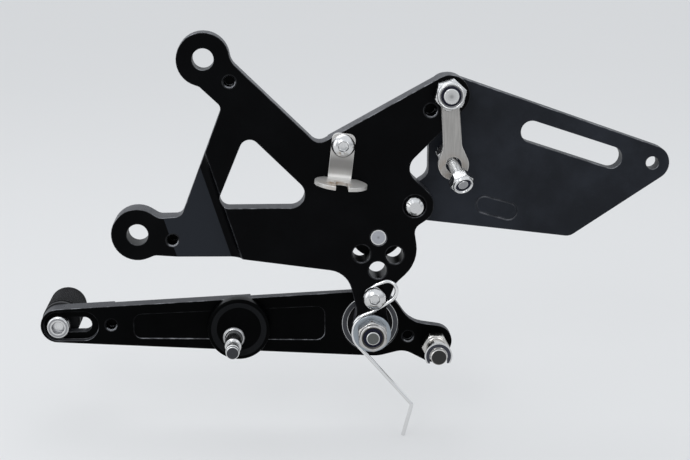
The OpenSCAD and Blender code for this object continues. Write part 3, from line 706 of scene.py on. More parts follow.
class Turned:
    """Shapes turned round an axis, with hexagons and threads where the real piece has them."""

    @staticmethod
    def ring(columns: int) -> np.ndarray:
        """Angles of the points round an axis, as one row."""
        return np.linspace(0, TAU, columns, endpoint=False)[None, :]

    @staticmethod
    def hexagon(turn: np.ndarray, flats: float, phase: float = 0.0) -> np.ndarray:
        """Radius of a hexagon: half its flats over the cosine of the angle from the flat."""
        off = np.mod(turn - math.radians(phase), TAU / 6) - TAU / 12
        return flats / 2 / np.cos(off)

    @staticmethod
    def profile(axis: Axis, stations: list, columns: int = 96, phase: float = 0.0) -> np.ndarray:
        """A profile carried round an axis.

        Args:
            axis: Axis of the shape.
            stations: Rows of (distance along, radius) or (distance, radius, flats), where the
                smaller of the radius and the hexagon counts.
            columns: Points round the axis.
            phase: Turn of the hexagon in degrees.
        Returns:
            The grid.
        """
        rows = np.array([(s[0], s[1], s[2] if len(s) > 2 else 0) for s in stations], float)
        turn = Turned.ring(columns)
        flats = np.where(rows[:, 2:3] > 0, rows[:, 2:3], 1e6)
        radius = np.minimum(rows[:, 1:2], Turned.hexagon(turn, flats, phase))
        return axis.points(rows[:, 0:1], radius, turn)

    @staticmethod
    def rounded(stations: list, r: float, steps: int = 4) -> list:
        """Rounds each inner corner of a profile: (1-t)^2 a + 2t(1-t) corner + t^2 b.

        Args:
            stations: Rows of (distance, radius), or with flats as a third value.
            r: Largest distance from a corner to where its rounding starts.
            steps: Points on each rounding.
        Returns:
            The finer profile.
        """
        out = [tuple(stations[0])]
        for before, at, after in zip(stations, stations[1:], stations[2:]):
            p, v, q = (np.array(s[:2], float) for s in (before, at, after))
            lp, lq = np.linalg.norm(p - v), np.linalg.norm(q - v)
            if min(lp, lq) < 1e-6:
                out.append(tuple(at))
                continue
            cut = min(r, lp * 0.45, lq * 0.45)
            a, b = v + (p - v) / lp * cut, v + (q - v) / lq * cut
            for t in np.linspace(0, 1, steps):
                corner = (1 - t) ** 2 * a + 2 * t * (1 - t) * v + t ** 2 * b
                out.append((corner[0], corner[1], *at[2:]))
        return out + [tuple(stations[-1])]

    @staticmethod
    def thread(axis: Axis, a0: float, a1: float, d: float, pitch: float, end: float,
               tip: tuple) -> np.ndarray:
        """A threaded rod: the radius falls by a cut V that climbs one pitch to the turn.

        Args:
            axis: Axis of the rod.
            a0: Where the thread starts.
            a1: Where the rod ends.
            d: Outside diameter.
            pitch: Pitch.
            end: Length of the cone at the end.
            tip: Length and radius of a thinner end.
        Returns:
            The grid.
        """
        rows = max(8, int((a1 - a0) / pitch * 10))
        a = np.linspace(a0, a1, rows)[:, None]
        turn = Turned.ring(48)
        saw = np.abs(2 * np.mod(a / pitch - turn / TAU, 1) - 1)
        depth = 0.58 * pitch * np.clip((a1 - a - end) / pitch, 0, 1)
        radius = d / 2 - depth * np.clip((saw - 0.16) / 0.7, 0, 1)
        radius = np.minimum(radius, d / 2 - np.clip(end - (a1 - a), 0, None))
        radius = np.minimum(radius, np.where(a1 - a < tip[0], tip[1], d))
        radius = np.minimum(radius, tip[1] - np.clip(0.3 - (a1 - a), 0, None))
        return axis.points(a, radius, turn)

    @staticmethod
    def knurl(axis: Axis, a0: float, a1: float, r: float, count: int, depth: float,
              fine: int) -> np.ndarray:
        """A knurled band: V grooves along both diagonals, fading out at the ends of the band.

        Args:
            axis: Axis of the band.
            a0: Start.
            a1: End.
            r: Outside radius.
            count: Diamonds round the axis.
            depth: Depth of the grooves.
            fine: Points to a diamond.
        Returns:
            The grid.
        """
        pitch = TAU * r / count
        a = np.linspace(a0, a1, int((a1 - a0) / pitch * fine))[:, None]
        turn = Turned.ring(count * fine)
        u, v = turn * count / TAU, a / pitch
        one = np.abs(np.mod(u + v, 1) - 0.5) * 2
        two = np.abs(np.mod(u - v, 1) - 0.5) * 2
        groove = np.clip((np.maximum(one, two) - 0.45) / 0.5, 0, 1)
        ends = np.clip(np.minimum(a - a0, a1 - a) / 0.6, 0, 1)
        return axis.points(a, r - depth * groove * ends, turn)


class Dress:
    """Puts finished pieces on their bodies and gives them their finishes."""

    @staticmethod
    def piece(made: bpy.types.Object, body: Body, slot: Slot, finish: bpy.types.Material,
              *nodes: str) -> None:
        """Dresses a new piece.

        Args:
            made: The piece.
            body: Body that it rides on.
            slot: Slot of the record; not used.
            finish: Its material.
            *nodes: Nodes that it stands for.
        """
        made.data.materials.clear()
        made.data.materials.append(finish)
        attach(made, body.value)
        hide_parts(*nodes)
        log.info("piece %s on %s, %d faces", made.name, body.value, len(made.data.polygons))

    @staticmethod
    def node(name: str, finish: bpy.types.Material) -> None:
        """Gives a carried-over node its finish.

        Args:
            name: The node.
            finish: Its material.
        """
        for slot in bpy.data.objects[name].material_slots:
            slot.material = finish
        log.info("node %s in %s", name, finish.name)


# Milled and cut pieces


@dataclass(frozen=True)
class Hole:
    """A round hole along Y: X and Z of its axis, its radius, and the width of its chamfer."""

    x: float
    z: float
    radius: float
    chamfer: float = 0.0

    def off(self, x: float, z: float) -> float:
        """Distance of a place from the wall, and less than 0 inside the hole."""
        return math.hypot(x - self.x, z - self.z) - self.radius


@dataclass
class Milled:
    """A milled or cut piece: the node's own form with its sharp edges broken.

    The broken edges are edge millimetres wide. The normal of the face that was milled coarsely is
    painted_lit_normal, where the piece has one; that face is painted lighter, as if lit.
    """

    node: str
    body: Body
    slot: Slot
    edge: float
    painted_lit_normal: Point | None = None
    holes: tuple = ()

    @staticmethod
    def is_sharp(edge: bmesh.types.BMEdge) -> bool:
        """Whether two faces meet at the edge at more than the angle SHARP."""
        return edge.calc_face_angle(0) > math.radians(SHARP)

    @staticmethod
    def bevel(bm: bmesh.types.BMesh, edges: list, width: float, bends: int) -> list:
        """Cuts edges off.

        Args:
            bm: The piece's mesh.
            edges: The edges.
            width: Distance from the edge to where the cut starts, in millimetres.
            bends: Number of faces across the cut.
        Returns:
            The new faces.
        """
        return bmesh.ops.bevel(bm, geom=edges, offset=width * MM, offset_type="OFFSET",
                               segments=bends, profile=0.5, affect="EDGES",
                               clamp_overlap=False)["faces"]

    @staticmethod
    def rim(bm: bmesh.types.BMesh, hole: Hole) -> list:
        """Edges round the open end of a hole on the frame side.

        Args:
            bm: The piece's mesh.
            hole: The hole.
        Returns:
            The edges.
        """
        def on_wall(v: bmesh.types.BMVert) -> bool:
            """Whether a point lies on the wall of the hole."""
            return abs(hole.off(v.co.x / MM, v.co.z / MM)) < WALL_SLACK
        ring = [e for e in bm.edges if all(on_wall(v) for v in e.verts) and Milled.is_sharp(e)]
        front = min((min(v.co.y for v in e.verts) for e in ring), default=0.0)
        return [e for e in ring if max(v.co.y for v in e.verts) < front + RIM_DEPTH * MM]

    def mark(self, bm: bmesh.types.BMesh, wear_and_glint: bmesh.types.BMLayerItem) -> None:
        """Stores shade on coarsely milled faces, and side on walls cut square to the face.

        Broken edges and the walls of the listed holes get no side. Finishes paint a lighter tone,
        as if lit, where shade is set, and a sheen where side is set.

        Args:
            bm: The piece's mesh.
            wear_and_glint: Layer that holds wear.
        """
        shade, side = (bm.faces.layers.float.new(name) for name in ("shade", "side"))
        for face in bm.faces:
            if self.painted_lit_normal:
                face[shade] = float(face.normal.dot(Vector(self.painted_lit_normal)) > 0.9996)
            centre = face.calc_center_median() / MM
            bored = any(hole.off(centre.x, centre.z) < 0.2 for hole in self.holes)
            face[side] = float(abs(face.normal.y) < 0.3 and not face[wear_and_glint] and not bored)

    def make(self, finish: bpy.types.Material) -> None:
        """Copies the node's form, joins its flat faces, chamfers its holes and breaks its edges.

        The new narrow faces carry the attribute wear_and_glint. It is 1 on a broken edge, and rises
        to 6 on a chamfer that faces the light, where it paints a highlight.

        Args:
            finish: Material of the piece.
        """
        bm = bmesh.new()
        bm.from_mesh(bpy.data.objects[self.node].data)
        bmesh.ops.remove_doubles(bm, verts=bm.verts, dist=1e-6)
        bmesh.ops.dissolve_limit(bm, angle_limit=math.radians(0.4), verts=bm.verts, edges=bm.edges,
                                 use_dissolve_boundaries=False)
        wear_and_glint = bm.faces.layers.float.new("wear_and_glint")
        for hole in self.holes:
            if hole.chamfer > 0:
                for face in self.bevel(bm, self.rim(bm, hole), hole.chamfer, 1):
                    face.normal_update()
                    # Painted highlight on chamfers that face the light
                    face[wear_and_glint] = 1.0 + 5.0 * max(0.0, face.normal.dot(Vector(LIT_FROM)))
        edges = [e for e in bm.edges
                 if self.is_sharp(e) and not any(f[wear_and_glint] for f in e.link_faces)]
        for face in self.bevel(bm, edges, self.edge, 2):
            face[wear_and_glint] = 1.0
        self.mark(bm, wear_and_glint)
        data = bpy.data.meshes.new(self.node + "_milled")
        bm.to_mesh(data)
        bm.free()
        made = Skin.smooth(self.node + "_milled", data, 55)
        even = made.modifiers.new("even_faces", "WEIGHTED_NORMAL")
        even.keep_sharp = True
        Dress.piece(made, self.body, self.slot, finish, self.node)


# Fasteners


@dataclass
class LockNut:
    """Hexagon lock nut with a drawn-in crown that holds a nylon ring.

    The crown's opening has the radius lip, and the ring's has the radius hold. Where shaded is true,
    a dark reflection is painted on the flats.
    """

    name: str
    axis: Axis
    finish: bpy.types.Material
    hold: float
    phase: float
    flats: float = 13.3
    height: float = NUT_H
    bore: float = 8.0
    lip: float = 4.6
    shaded: bool = False

    def make(self, nylon: bpy.types.Material) -> None:
        """Builds the steel body and the nylon ring.

        Args:
            nylon: Finish of the ring.
        """
        f, h, b, lip, hold = self.flats, self.height, self.bore / 2, self.lip, self.hold
        side = [(0.0, b + 0.5), (0.0, f * 0.462, f), (0.12, f * 0.484, f), (0.35, f * 0.52, f),
                (0.62, f * 0.555, f), (0.95, f * 0.572, f), (h * 0.36, f * 0.5725, f),
                (h * 0.60, f * 0.572, f), (h * 0.66, f * 0.553, f), (h * 0.71, f * 0.522, f),
                (h * 0.74, f * 0.496, f), (h * 0.75, f * 0.486), (h * 0.76, f * 0.483)]
        crown = Turned.rounded([(h * 0.76, f * 0.483), (h * 0.93, f * 0.478), (h, f * 0.44),
                                (h - 0.02, f * 0.405), (h - 0.62, lip), (h - 0.95, lip),
                                (h - 1.0, lip + 0.3)], 0.4, 5)
        inner = [(h * 0.77, lip + 0.3), (h * 0.77, b + 0.05), (h * 0.70, b), (0.6, b),
                 (0.2, b + 0.3)]
        grid = Turned.profile(self.axis, side + crown + inner, 144, self.phase)
        # Painted dark reflection on the flats where shaded is true
        walls = (0.4, h * 0.7, f * 0.49, f * 0.6) if self.shaded else NO_WALLS
        made = Skin.mesh(self.name + "_body", [(grid, True)], 30, self.axis, walls)
        Dress.piece(made, Body.BASE, Slot.STEEL, self.finish, self.name)
        ring = Turned.rounded([(h * 0.78, b), (h * 0.78, lip + 0.25), (h - 1.05, lip + 0.25),
                               (h - 0.8, lip - 0.02), (h - 0.75, b), (h - 0.7, hold),
                               (h - 1.0, hold), (h - 1.05, b), (h * 0.78, b)], 0.1, 3)
        made = Skin.mesh(self.name + "_nylon", [(Turned.profile(self.axis, ring), True)])
        Dress.piece(made, Body.BASE, Slot.NYLON, nylon, self.name + "_ring")


@dataclass
class Screw:
    """A bolt or screw: head with hexagon socket, plain shank and threaded end.

    The outline of the head runs from its seat to the socket. The socket has a width and a depth,
    a thinner tip a length and a radius, and the cone at the end the length point.
    """

    name: str
    axis: Axis
    head: list
    length: float
    finish: bpy.types.Material
    body: Body = Body.BASE
    d: float = 8.0
    pitch: float = 1.25
    threaded: float = 14.0
    point: float = 0.8
    socket: tuple = (5.0, 2.6)
    phase: float = 15.0
    tip: tuple = (0.0, 9.0)

    def make(self) -> None:
        """Builds the screw from its head down to its end."""
        af, deep = self.socket
        top, wall, corner = self.head[-1][0], af / 2, af / math.sqrt(3) * 0.985
        outer = Turned.rounded([(0.0, self.d / 2 - 0.2)] + self.head, 0.5, 5)
        inner = [(top, wall + 0.35, af + 0.5), (top + 0.05, corner + 0.2, af + 0.3),
                 (top + 0.3, corner, af), (top + deep * 0.6, corner, af),
                 (top + deep * 0.97, corner, af), (top + deep, corner * 0.95, af * 0.95),
                 (top + deep + 0.03, wall * 0.35), (top + deep + 0.04, 0.02)]
        head = Turned.profile(self.axis, outer + inner, 120, self.phase)
        start = self.length - self.threaded
        shank = Turned.profile(self.axis, [(-0.3, self.d / 2), (start * 0.5, self.d / 2),
                                           (start + 0.2, self.d / 2)], 48)
        thread = Turned.thread(self.axis, start, self.length, self.d, self.pitch, self.point,
                               self.tip)
        # Painted shade on the walls of the socket and the chamfer round its mouth
        made = Skin.mesh(self.name + "_turned", [(grid, False) for grid in (head, shank, thread)],
                         33, self.axis, (top + 0.01, top + deep * 0.98, wall * 0.9, corner + 0.3))
        Dress.piece(made, self.body, Slot.STEEL, self.finish, self.name)


def button(d: float, h: float) -> list:
    """Outline of a button head, from its rim to the socket; heights are negative."""
    return [(0.0, d * 0.5), (-h * 0.16, d * 0.5), (-h * 0.42, d * 0.475), (-h * 0.66, d * 0.42),
            (-h * 0.86, d * 0.34), (-h * 0.97, d * 0.27), (-h, d * 0.25)]


@dataclass
class Fasteners:
    """Bolts, screws and lock nuts of the part."""

    finishes: Finishes

    def make(self) -> None:
        """Builds every fastener."""
        self.nuts()
        self.screws()
        self.loose_bolt()

    def lean(self, along: float = 0.0) -> Axis:
        """Axis of the loose bolt, from its head to its nut, through the middle of the eye.

        Args:
            along: Distance of the origin from the eye.
        Returns:
            The axis.
        """
        turn = Matrix.Identity(3)
        for degrees, way in LOOSE_TURNS:
            turn = turn @ Matrix.Rotation(math.radians(degrees), 3, way)
        down, across = turn @ Vector((0, 0, 1)), turn @ Vector((1, 0, 0))
        origin = np.array(at_depth(EYE, -LINK_T / 2)) + along * np.array(down)
        return Axis(tuple(origin), tuple(down), tuple(across))

    def nuts(self) -> None:
        """Builds the three lock nuts."""
        done = self.finishes
        small = 6.0
        LockNut("stay_nut", Axis.at(STAY, -LINK_T, True), done.crown, 3.7, 17).make(done.nylon)
        LockNut("pivot_nut", Axis.at(PIVOT, -BUSH_T - WASHER_T, True), done.dull, 3.35, 33,
                shaded=True).make(done.nylon)
        LockNut("link_nut", self.lean(LOOSE_L - LOOSE_SEAT - small - 0.4), done.steel, 2.68, 26,
                flats=10.0, height=small, bore=small, lip=3.5).make(done.nylon)

    def screws(self) -> None:
        """Builds the screws with button heads, first those put in from the outer side."""
        done = self.finishes
        seat = GUARD_Y + GUARD_T
        Screw("guard_bolt", Axis.at(LOBE, seat, True), button(14, 4.4), seat + 3.8, done.steel,
              point=1.4).make()
        Screw("stay_bolt", Axis.at(STAY, seat, True), button(14, 4.4),
              seat + LINK_T + NUT_H + 0.9, done.stay, threaded=13.5, point=0.3,
              tip=(1.5, 3.6)).make()
        seat = LEVER_Y + 10
        Screw("pivot_bolt", Axis.at(PIVOT, seat, True), button(16, 4.6),
              seat + BUSH_T + WASHER_T + NUT_H + 0.7, done.pivot, threaded=12.0,
              tip=(1.7, 3.25)).make()
        for name, place, y in (("switch_screw", SWITCH_AT, -2.0),
                               ("spring_screw", HOOK_AT, -2.15)):
            Screw(name, Axis.at(place, y), button(11.1, 3.3), 7 - y, done.steel, d=6.0, pitch=1.0,
                  threaded=5.0, point=0.6, socket=(4.4, 1.9)).make()

    def loose_bolt(self) -> None:
        """Builds the hexagon bolt that hangs in the eye; distances start at the eye."""
        axis, f, seat, tip = self.lean(), 10.0, -LOOSE_SEAT, LOOSE_L - LOOSE_SEAT - 1.2
        head = [(seat - 2.4, 0.02), (seat - 2.4, 2.3), (seat - 2.8, 2.6), (seat - 3.95, 2.75),
                (seat - 4.0, 3.0), (seat - 4.0, f * 0.462, f), (seat - 3.75, f * 0.5, f),
                (seat - 3.35, f * 0.555, f), (seat - 3.0, f * 0.573, f),
                (seat - 0.7, f * 0.573, f), (seat - 0.3, f * 0.56, f), (seat, f * 0.51, f),
                (seat, 2.9), (seat + 0.1, 0.02)]
        shank = [(seat - 0.3, 3.0), (-3.2, 3.0), (-2.8, 2.95)]
        grids = [(Turned.profile(axis, head, 144), False), (Turned.profile(axis, shank, 48), False),
                 (Turned.thread(axis, -3.0, tip, 6.0, 1.0, 0.3, (1.5, 2.6)), False)]
        # Painted shade in the roots of the thread
        made = Skin.mesh("link_bolt_turned", grids, 33, axis, (-3, tip - 1.8, 2.0, 2.52))
        Dress.piece(made, Body.BASE, Slot.STEEL, self.finishes.loose, "link_bolt")


# Pivot, post and stud


@dataclass
class PivotStack:
    """Washer, bearing and return spring round the pivot bolt.

    The wire is straight for the length leg past the coil. The coil runs between the angles ends,
    and wound has its angles and the radius at each of them, in degrees and millimetres.
    """

    finishes: Finishes
    wire_d: float = 1.9
    leg: float = 40.5
    ends: tuple = (113.0, 580.9)
    wound: tuple = ((113, 150, 185, 225, 280, 340, 450, 480, 515, 550, 581),
                    (8.75, 9.0, 8.6, 8.2, 7.6, 7.4, 7.4, 8.0, 8.9, 9.0, 9.27))

    def make(self) -> None:
        """Builds the pieces of the stack."""
        low, high = BUSH_T, BUSH_T + WASHER_T
        ring = Turned.rounded([(low + 0.1, 4.2), (low + 0.02, 8.2), (low, 9.0), (high, 9.0),
                               (high, 4.2), (low + 0.1, 4.2)], 0.3)
        self.add("pivot_washer", ring, self.finishes.washer, Body.BASE)
        outer = Turned.rounded([(-11.5, 11.0), (-11.5, 13.55), (-11.8, 13.95), (-19.2, 13.95),
                                (-19.5, 13.4), (-19.5, 11.9), (-15.5, 11.9), (-11.67, 11.75),
                                (-11.66, 11.0), (-11.5, 11.0)], 0.16)
        self.add("bearing_outer", outer, self.finishes.race, Body.LEVER)
        self.spring()

    @staticmethod
    def add(node: str, profile: list, finish: bpy.types.Material, body: Body) -> None:
        """Turns one closed profile round the pivot; distances run toward the frame side.

        Args:
            node: Node that the piece stands for.
            profile: Rows of distance and radius.
            finish: Its material.
            body: Body that it rides on.
        """
        axis = Axis.at(PIVOT, 0, True)
        made = Skin.mesh(node + "_turned", [(Turned.profile(axis, profile, 128), True)], 40, axis)
        Dress.piece(made, body, Slot.STEEL, finish, node)

    @staticmethod
    def bent(points: list) -> np.ndarray:
        """Rounds the inner corners of an open path with arcs.

        Args:
            points: Rows of x, z and radius.
        Returns:
            Path points in the plane.
        """
        out = [np.array(points[0][:2], float)]
        for before, at, after in zip(points, points[1:], points[2:]):
            p, v, q = (np.array(s[:2], float) for s in (before, at, after))
            u, w = (p - v) / np.linalg.norm(p - v), (q - v) / np.linalg.norm(q - v)
            half = math.acos(max(-1.0, min(1.0, float(u @ w)))) / 2
            middle = v + (u + w) / np.linalg.norm(u + w) * at[2] / math.sin(half)
            a, b = (v + way * at[2] / math.tan(half) - middle for way in (u, w))
            a0 = math.atan2(a[1], a[0])
            turn = (math.atan2(b[1], b[0]) - a0 + math.pi) % TAU - math.pi
            t = a0 + turn * np.linspace(0, 1, ARC_POINTS)
            out += list(middle + at[2] * np.stack([np.cos(t), np.sin(t)], -1))
        return np.array(out + [np.array(points[-1][:2], float)])

    def path(self) -> np.ndarray:
        """Way of the wire: hook round the screw, one and a quarter coils, then the free leg.

        The coil is PIVOT + r (cos a, sin a) with r and the depth given along the angle a.

        Returns:
            Points in millimetres.
        """
        y0 = -self.wire_d / 2 - 0.12
        y1 = y0 - self.wire_d - 0.2
        a = np.linspace(*self.ends, 161)
        r, turn = np.interp(a, *self.wound), np.radians(a)
        coil = np.column_stack([PIVOT[0] + r * np.cos(turn), np.interp(a, (225, 450), (y0, y1)),
                                PIVOT[1] + r * np.sin(turn)])
        enter, leave = coil[0, ::2], coil[-1, ::2]
        bend = leave + self.leg * np.array([-np.sin(turn[-1]), np.cos(turn[-1])])
        hook = self.bent([(75.2, -114.8, 0), (75.0, -111.2, 3.0), (80.5, -107.6, 9.0),
                          (89.3, -104.1, 4.7), (90.2, -113.7, 5.3), (78.2, -121.2, 10),
                          (*enter, 0)])[:-1]
        tail = self.bent([(*leave, 0), (*bend, 2.0), (*(bend + [-4.2, -15.8]), 0)])[1:]
        return np.concatenate([np.insert(hook, 1, y0, 1), coil, np.insert(tail, 1, y1, 1)])

    def spring(self) -> None:
        """Carries a round section along the path: centre + r (s cos t + u sin t), s and u across."""
        path = self.path()
        way = np.gradient(path, axis=0)
        way /= np.linalg.norm(way, axis=1)[:, None]
        side = np.cross(way, np.array([0.0, 1.0, 0.0]))
        side /= np.linalg.norm(side, axis=1)[:, None]
        up = np.cross(side, way)
        path, side, up = (np.concatenate([k[:1], k, k[-1:]]) for k in (path, side, up))
        r = np.full(len(path), self.wire_d / 2)
        r[[0, -1]] *= 0.72
        path[1] += way[0] * 0.2
        path[-2] -= way[-1] * 0.2
        turn = Turned.ring(20)[..., None]
        grid = path[:, None] + r[:, None, None] * (np.cos(turn) * side[:, None]
                                                   + np.sin(turn) * up[:, None])
        made = Skin.mesh("return_spring_wound", [(grid, False)], 50)
        Dress.piece(made, Body.BASE, Slot.STEEL, self.finishes.wire, "return_spring")


@dataclass
class LeverTrim:
    """Collar and grooved post, tail stud with its clip, and toe peg bolt on the lever."""

    finishes: Finishes
    collar_t: float = 6.8
    collar_r: float = 15.0
    dish: float = 1.3
    post_l: float = 24.5
    stud_l: float = 22.0
    clip_t: float = 0.8

    def make(self) -> None:
        """Builds the pieces."""
        self.collar()
        self.post()
        self.stud()
        self.clip()
        self.toe_bolt()

    @staticmethod
    def add(node: str, axis: Axis, grid: np.ndarray, sharp: float, walls: tuple, slot: Slot,
            finish: bpy.types.Material) -> None:
        """Adds one turned piece to the lever.

        Args:
            node: Node that it stands for.
            axis: Axis that it was turned on.
            grid: Its surface.
            sharp: Angle in degrees past which an edge stays sharp.
            walls: Zone where its finish paints shade, and on the collar light, as for Skin.laps.
            slot: Slot of the record.
            finish: Its material.
        """
        made = Skin.mesh(node + "_turned", [(grid, False)], sharp, axis, walls)
        Dress.piece(made, Body.LEVER, slot, finish, node)

    def collar(self) -> None:
        """Dished collar under the post."""
        r, top, low = self.collar_r, self.collar_t, self.collar_t - self.dish
        rows = Turned.rounded([(0, 0.02), (0, r), (top - 0.5, r), (top, r - 0.5), (top, r - 1.8),
                               (low, r - 4.4), (low, 0.02)], 0.3, 5)
        axis = Axis.at(COLLAR_AT, LEVER_Y, True)
        # Painted light: the lever finish colours the cone lighter, as if lit
        self.add("post_collar", axis, Turned.profile(axis, rows, 160), 40,
                 (low - 0.1, top + 0.1, r - 4.35, r - 1.65), Slot.GRIP, self.finishes.lever)

    def post(self) -> None:
        """Post with two grooves and a wide foot."""
        h = self.post_l
        rows = Turned.rounded([(-9.3, 0.02), (-9.3, 3.0), (0, 3.0), (0, 5.4), (0.7, 5.4),
                               (1.2, 4.9), (1.4, 4.4), (2.4, 3.9), (h - 10.55, 3.9),
                               (h - 10.35, 3.6), (h - 10.2, 2.95), (h - 5.1, 2.95),
                               (h - 4.6, 3.35), (h - 2.9, 3.35), (h - 2.6, 2.85), (h - 2.0, 2.85),
                               (h - 1.8, 3.15), (h - 0.5, 3.15), (h, 2.7), (h, 0.02)], 0.2)
        axis = Axis.at(POST_AT, LEVER_Y - self.collar_t + self.dish, True)
        # Painted shade on the foot
        self.add("spring_post", axis, Turned.profile(axis, rows), 40, (-0.05, 1.35, 4.2, 5.5),
                 Slot.STEEL, self.finishes.post)

    def stud(self) -> None:
        """Stud with hexagon foot and ring groove."""
        f, h = 12.0, self.stud_l
        rows = [(-5.6, 0.02), (-5.6, 3.0), (0, 3.0), (0, f * 0.47, f), (0.25, f * 0.51, f),
                (0.8, f * 0.572, f), (6.0, f * 0.573, f), (6.4, f * 0.55, f), (6.8, f * 0.51, f),
                (7.0, f * 0.472, f), (7.0, 5.3), (7.3, 4.75), (7.8, 4.6), (13.6, 4.55),
                (14.2, 4.4), (15.2, 3.9), (h - 3.2, 3.9), (h - 3.1, 3.85), (h - 3.1, 3.1),
                (h - 2.0, 3.1), (h - 2.0, 3.8), (h - 1.9, 3.9), (h - 0.5, 3.9), (h, 3.4),
                (h, 0.02)]
        axis = Axis.at(STUD_AT, LEVER_Y, True)
        # Painted dark reflection on the hexagon flats
        self.add("tail_stud", axis, Turned.profile(axis, rows, 144, -2), 30, (0.4, 6.3, 5.6, 7.1),
                 Slot.STEEL, self.finishes.stud)

    def clip(self) -> None:
        """Open ring in the groove of the stud, with a flat section and broken edges.

        Past the half circle, by the angle b on either side, the inner radius grows from 3.3 to
        4.1 / cos b, and the outer radius of 6.6 is cut off at 3.6 / sin b.
        """
        degrees = np.linspace(-40.5, 220.5, 88)
        past = np.abs(degrees - 90) - 90
        b = np.radians(past)
        inner = 3.3 + np.interp(past, (11, 16), (0, 1)) * (4.1 / np.cos(b) - 3.3)
        outer = np.where(b > 0.2, np.minimum(6.6, 3.6 / np.sin(np.maximum(b, 0.2))), 6.6)
        corner = np.array([(-1, -0.8), (-0.8, -1), (0.8, -1), (1, -0.8), (1, 0.8), (0.8, 1),
                           (-0.8, 1), (-1, 0.8)])
        middle, half = (inner + outer) / 2, (outer - inner) / 2
        radius = middle[:, None] + half[:, None] * corner[None, :, 1]
        along = self.stud_l - 2.55 + self.clip_t / 2 * corner[None, :, 0]
        grid = Axis.at(STUD_AT, LEVER_Y, True).points(along, radius, np.radians(degrees)[:, None])
        made = Skin.mesh("retaining_clip_cut", [(grid, False)], 40)
        Dress.piece(made, Body.LEVER, Slot.STEEL, self.finishes.clip, "retaining_clip")

    def toe_bolt(self) -> None:
        """Socket head bolt that clamps the toe peg."""
        seat = LEVER_Y + 3.2
        head = [(0.0, 5.4), (-4.7, 5.4), (-5.4, 4.7), (-5.4, 3.4)]
        Screw("toe_peg_bolt", Axis.at(TOE, seat), head, LEVER_Y + LEVER_T + 15 - seat,
              self.finishes.toe_bolt, Body.TOE, d=6.0, pitch=1.0, threaded=12.0, point=0.6,
              socket=(5.6, 3.0), phase=10).make()


@dataclass(frozen=True)
class Peg:
    """A knurled peg: its radius, the diamonds of the knurl round it and the points to a diamond."""

    axis: Axis
    r: float
    count: int
    fine: int

    def grid(self, *stretches: list | tuple) -> np.ndarray:
        """Joins turned and knurled stretches.

        Args:
            *stretches: A list of stations for each turned one, and start and end as a tuple for
                each knurled one.
        Returns:
            The grid.
        """
        return np.concatenate([
            Turned.profile(self.axis, stretch, self.count * self.fine) if isinstance(stretch, list)
            else Turned.knurl(self.axis, *stretch, self.r, self.count, KNURL_DEPTH, self.fine)
            for stretch in stretches])


@dataclass
class Pegs:
    """Knurled foot peg and toe peg."""

    finish: bpy.types.Material
    peg_l: float = 85.0
    toe_l: float = 30.0

    def make(self) -> None:
        """Builds both pegs."""
        foot = Skin.mesh("foot_peg_knurled", [(self.foot(), True)], 55)
        Dress.piece(foot, Body.BASE, Slot.GRIP, self.finish, "foot_peg")
        toe = Skin.mesh("toe_peg_knurled", [(self.toe(), False)], 55)
        Dress.piece(toe, Body.TOE, Slot.GRIP, self.finish, "toe_peg")

    def foot(self) -> np.ndarray:
        """Foot peg: flange, two knurled bands, groove between them, and a raised end.

        Returns:
            The grid.
        """
        end, r, bore = self.peg_l, 11.0, 4.02
        neck = Turned.rounded([(end - 9, bore), (0.0, bore), (0.0, 12.65), (0.6, 13.25),
                               (5.4, 13.25), (6, 12.65), (6.3, 9.4), (9, 9.4), (10, r - 0.4)], 0.3)
        groove = Turned.rounded([(40.8, r - 0.4), (42.5, 9.8), (45.9, 9.8), (47.6, r - 0.4)],
                                0.4, 5)
        cap = Turned.rounded([(end - 7, r - 0.4), (end - 6, 9.8), (end - 4, 9.8), (end - 3, 11.6),
                              (end - 1, 11.6), (end, 10.6), (end, 7.2), (end - 0.3, 6.9),
                              (end - 8.95, 6.9), (end - 9, bore)], 0.35, 5)
        peg = Peg(Axis.at(PEG_AT, PEG_Y), r, 38, 7)
        return peg.grid(neck, (10.1, 40.7), groove, (47.7, end - 7.1), cap)

    def toe(self) -> np.ndarray:
        """Toe peg: plain collar, groove, then knurled to its chamfered end.

        Returns:
            The grid.
        """
        end, r = self.toe_l, 9.2
        foot = Turned.rounded([(15, 0.02), (15, 3.0), (0, 3.0), (0, 8.4), (0.8, r), (3, r),
                               (3.6, 8.4), (4.6, 8.4), (5.2, r - 0.2)], 0.25)
        tip = Turned.rounded([(end - 1.2, r - 0.2), (end - 0.2, r - 1.2), (end, r - 1.6),
                              (end, 0.02)], 0.3)
        peg = Peg(Axis.at(TOE, LEVER_Y + LEVER_T), r, 34, 8)
        return peg.grid(foot, (5.3, end - 1.3), tip)


# Stage


@dataclass(frozen=True)
class Lamp:
    """A soft rectangular lamp, with its place, aim and size in metres and its power in watts."""

    name: str
    place: Point
    aim: Point
    size: tuple
    power: float

    def make(self) -> None:
        """Hangs the lamp at its place and points it at its aim."""
        data = bpy.data.lights.new(self.name, "AREA")
        data.shape, data.energy = "RECTANGLE", self.power
        data.size, data.size_y = self.size
        turn = (Vector(self.aim) - Vector(self.place)).to_track_quat("-Z", "Y")
        made = shown(self.name, data)
        made.matrix_world = Matrix.Translation(self.place) @ turn.to_matrix().to_4x4()


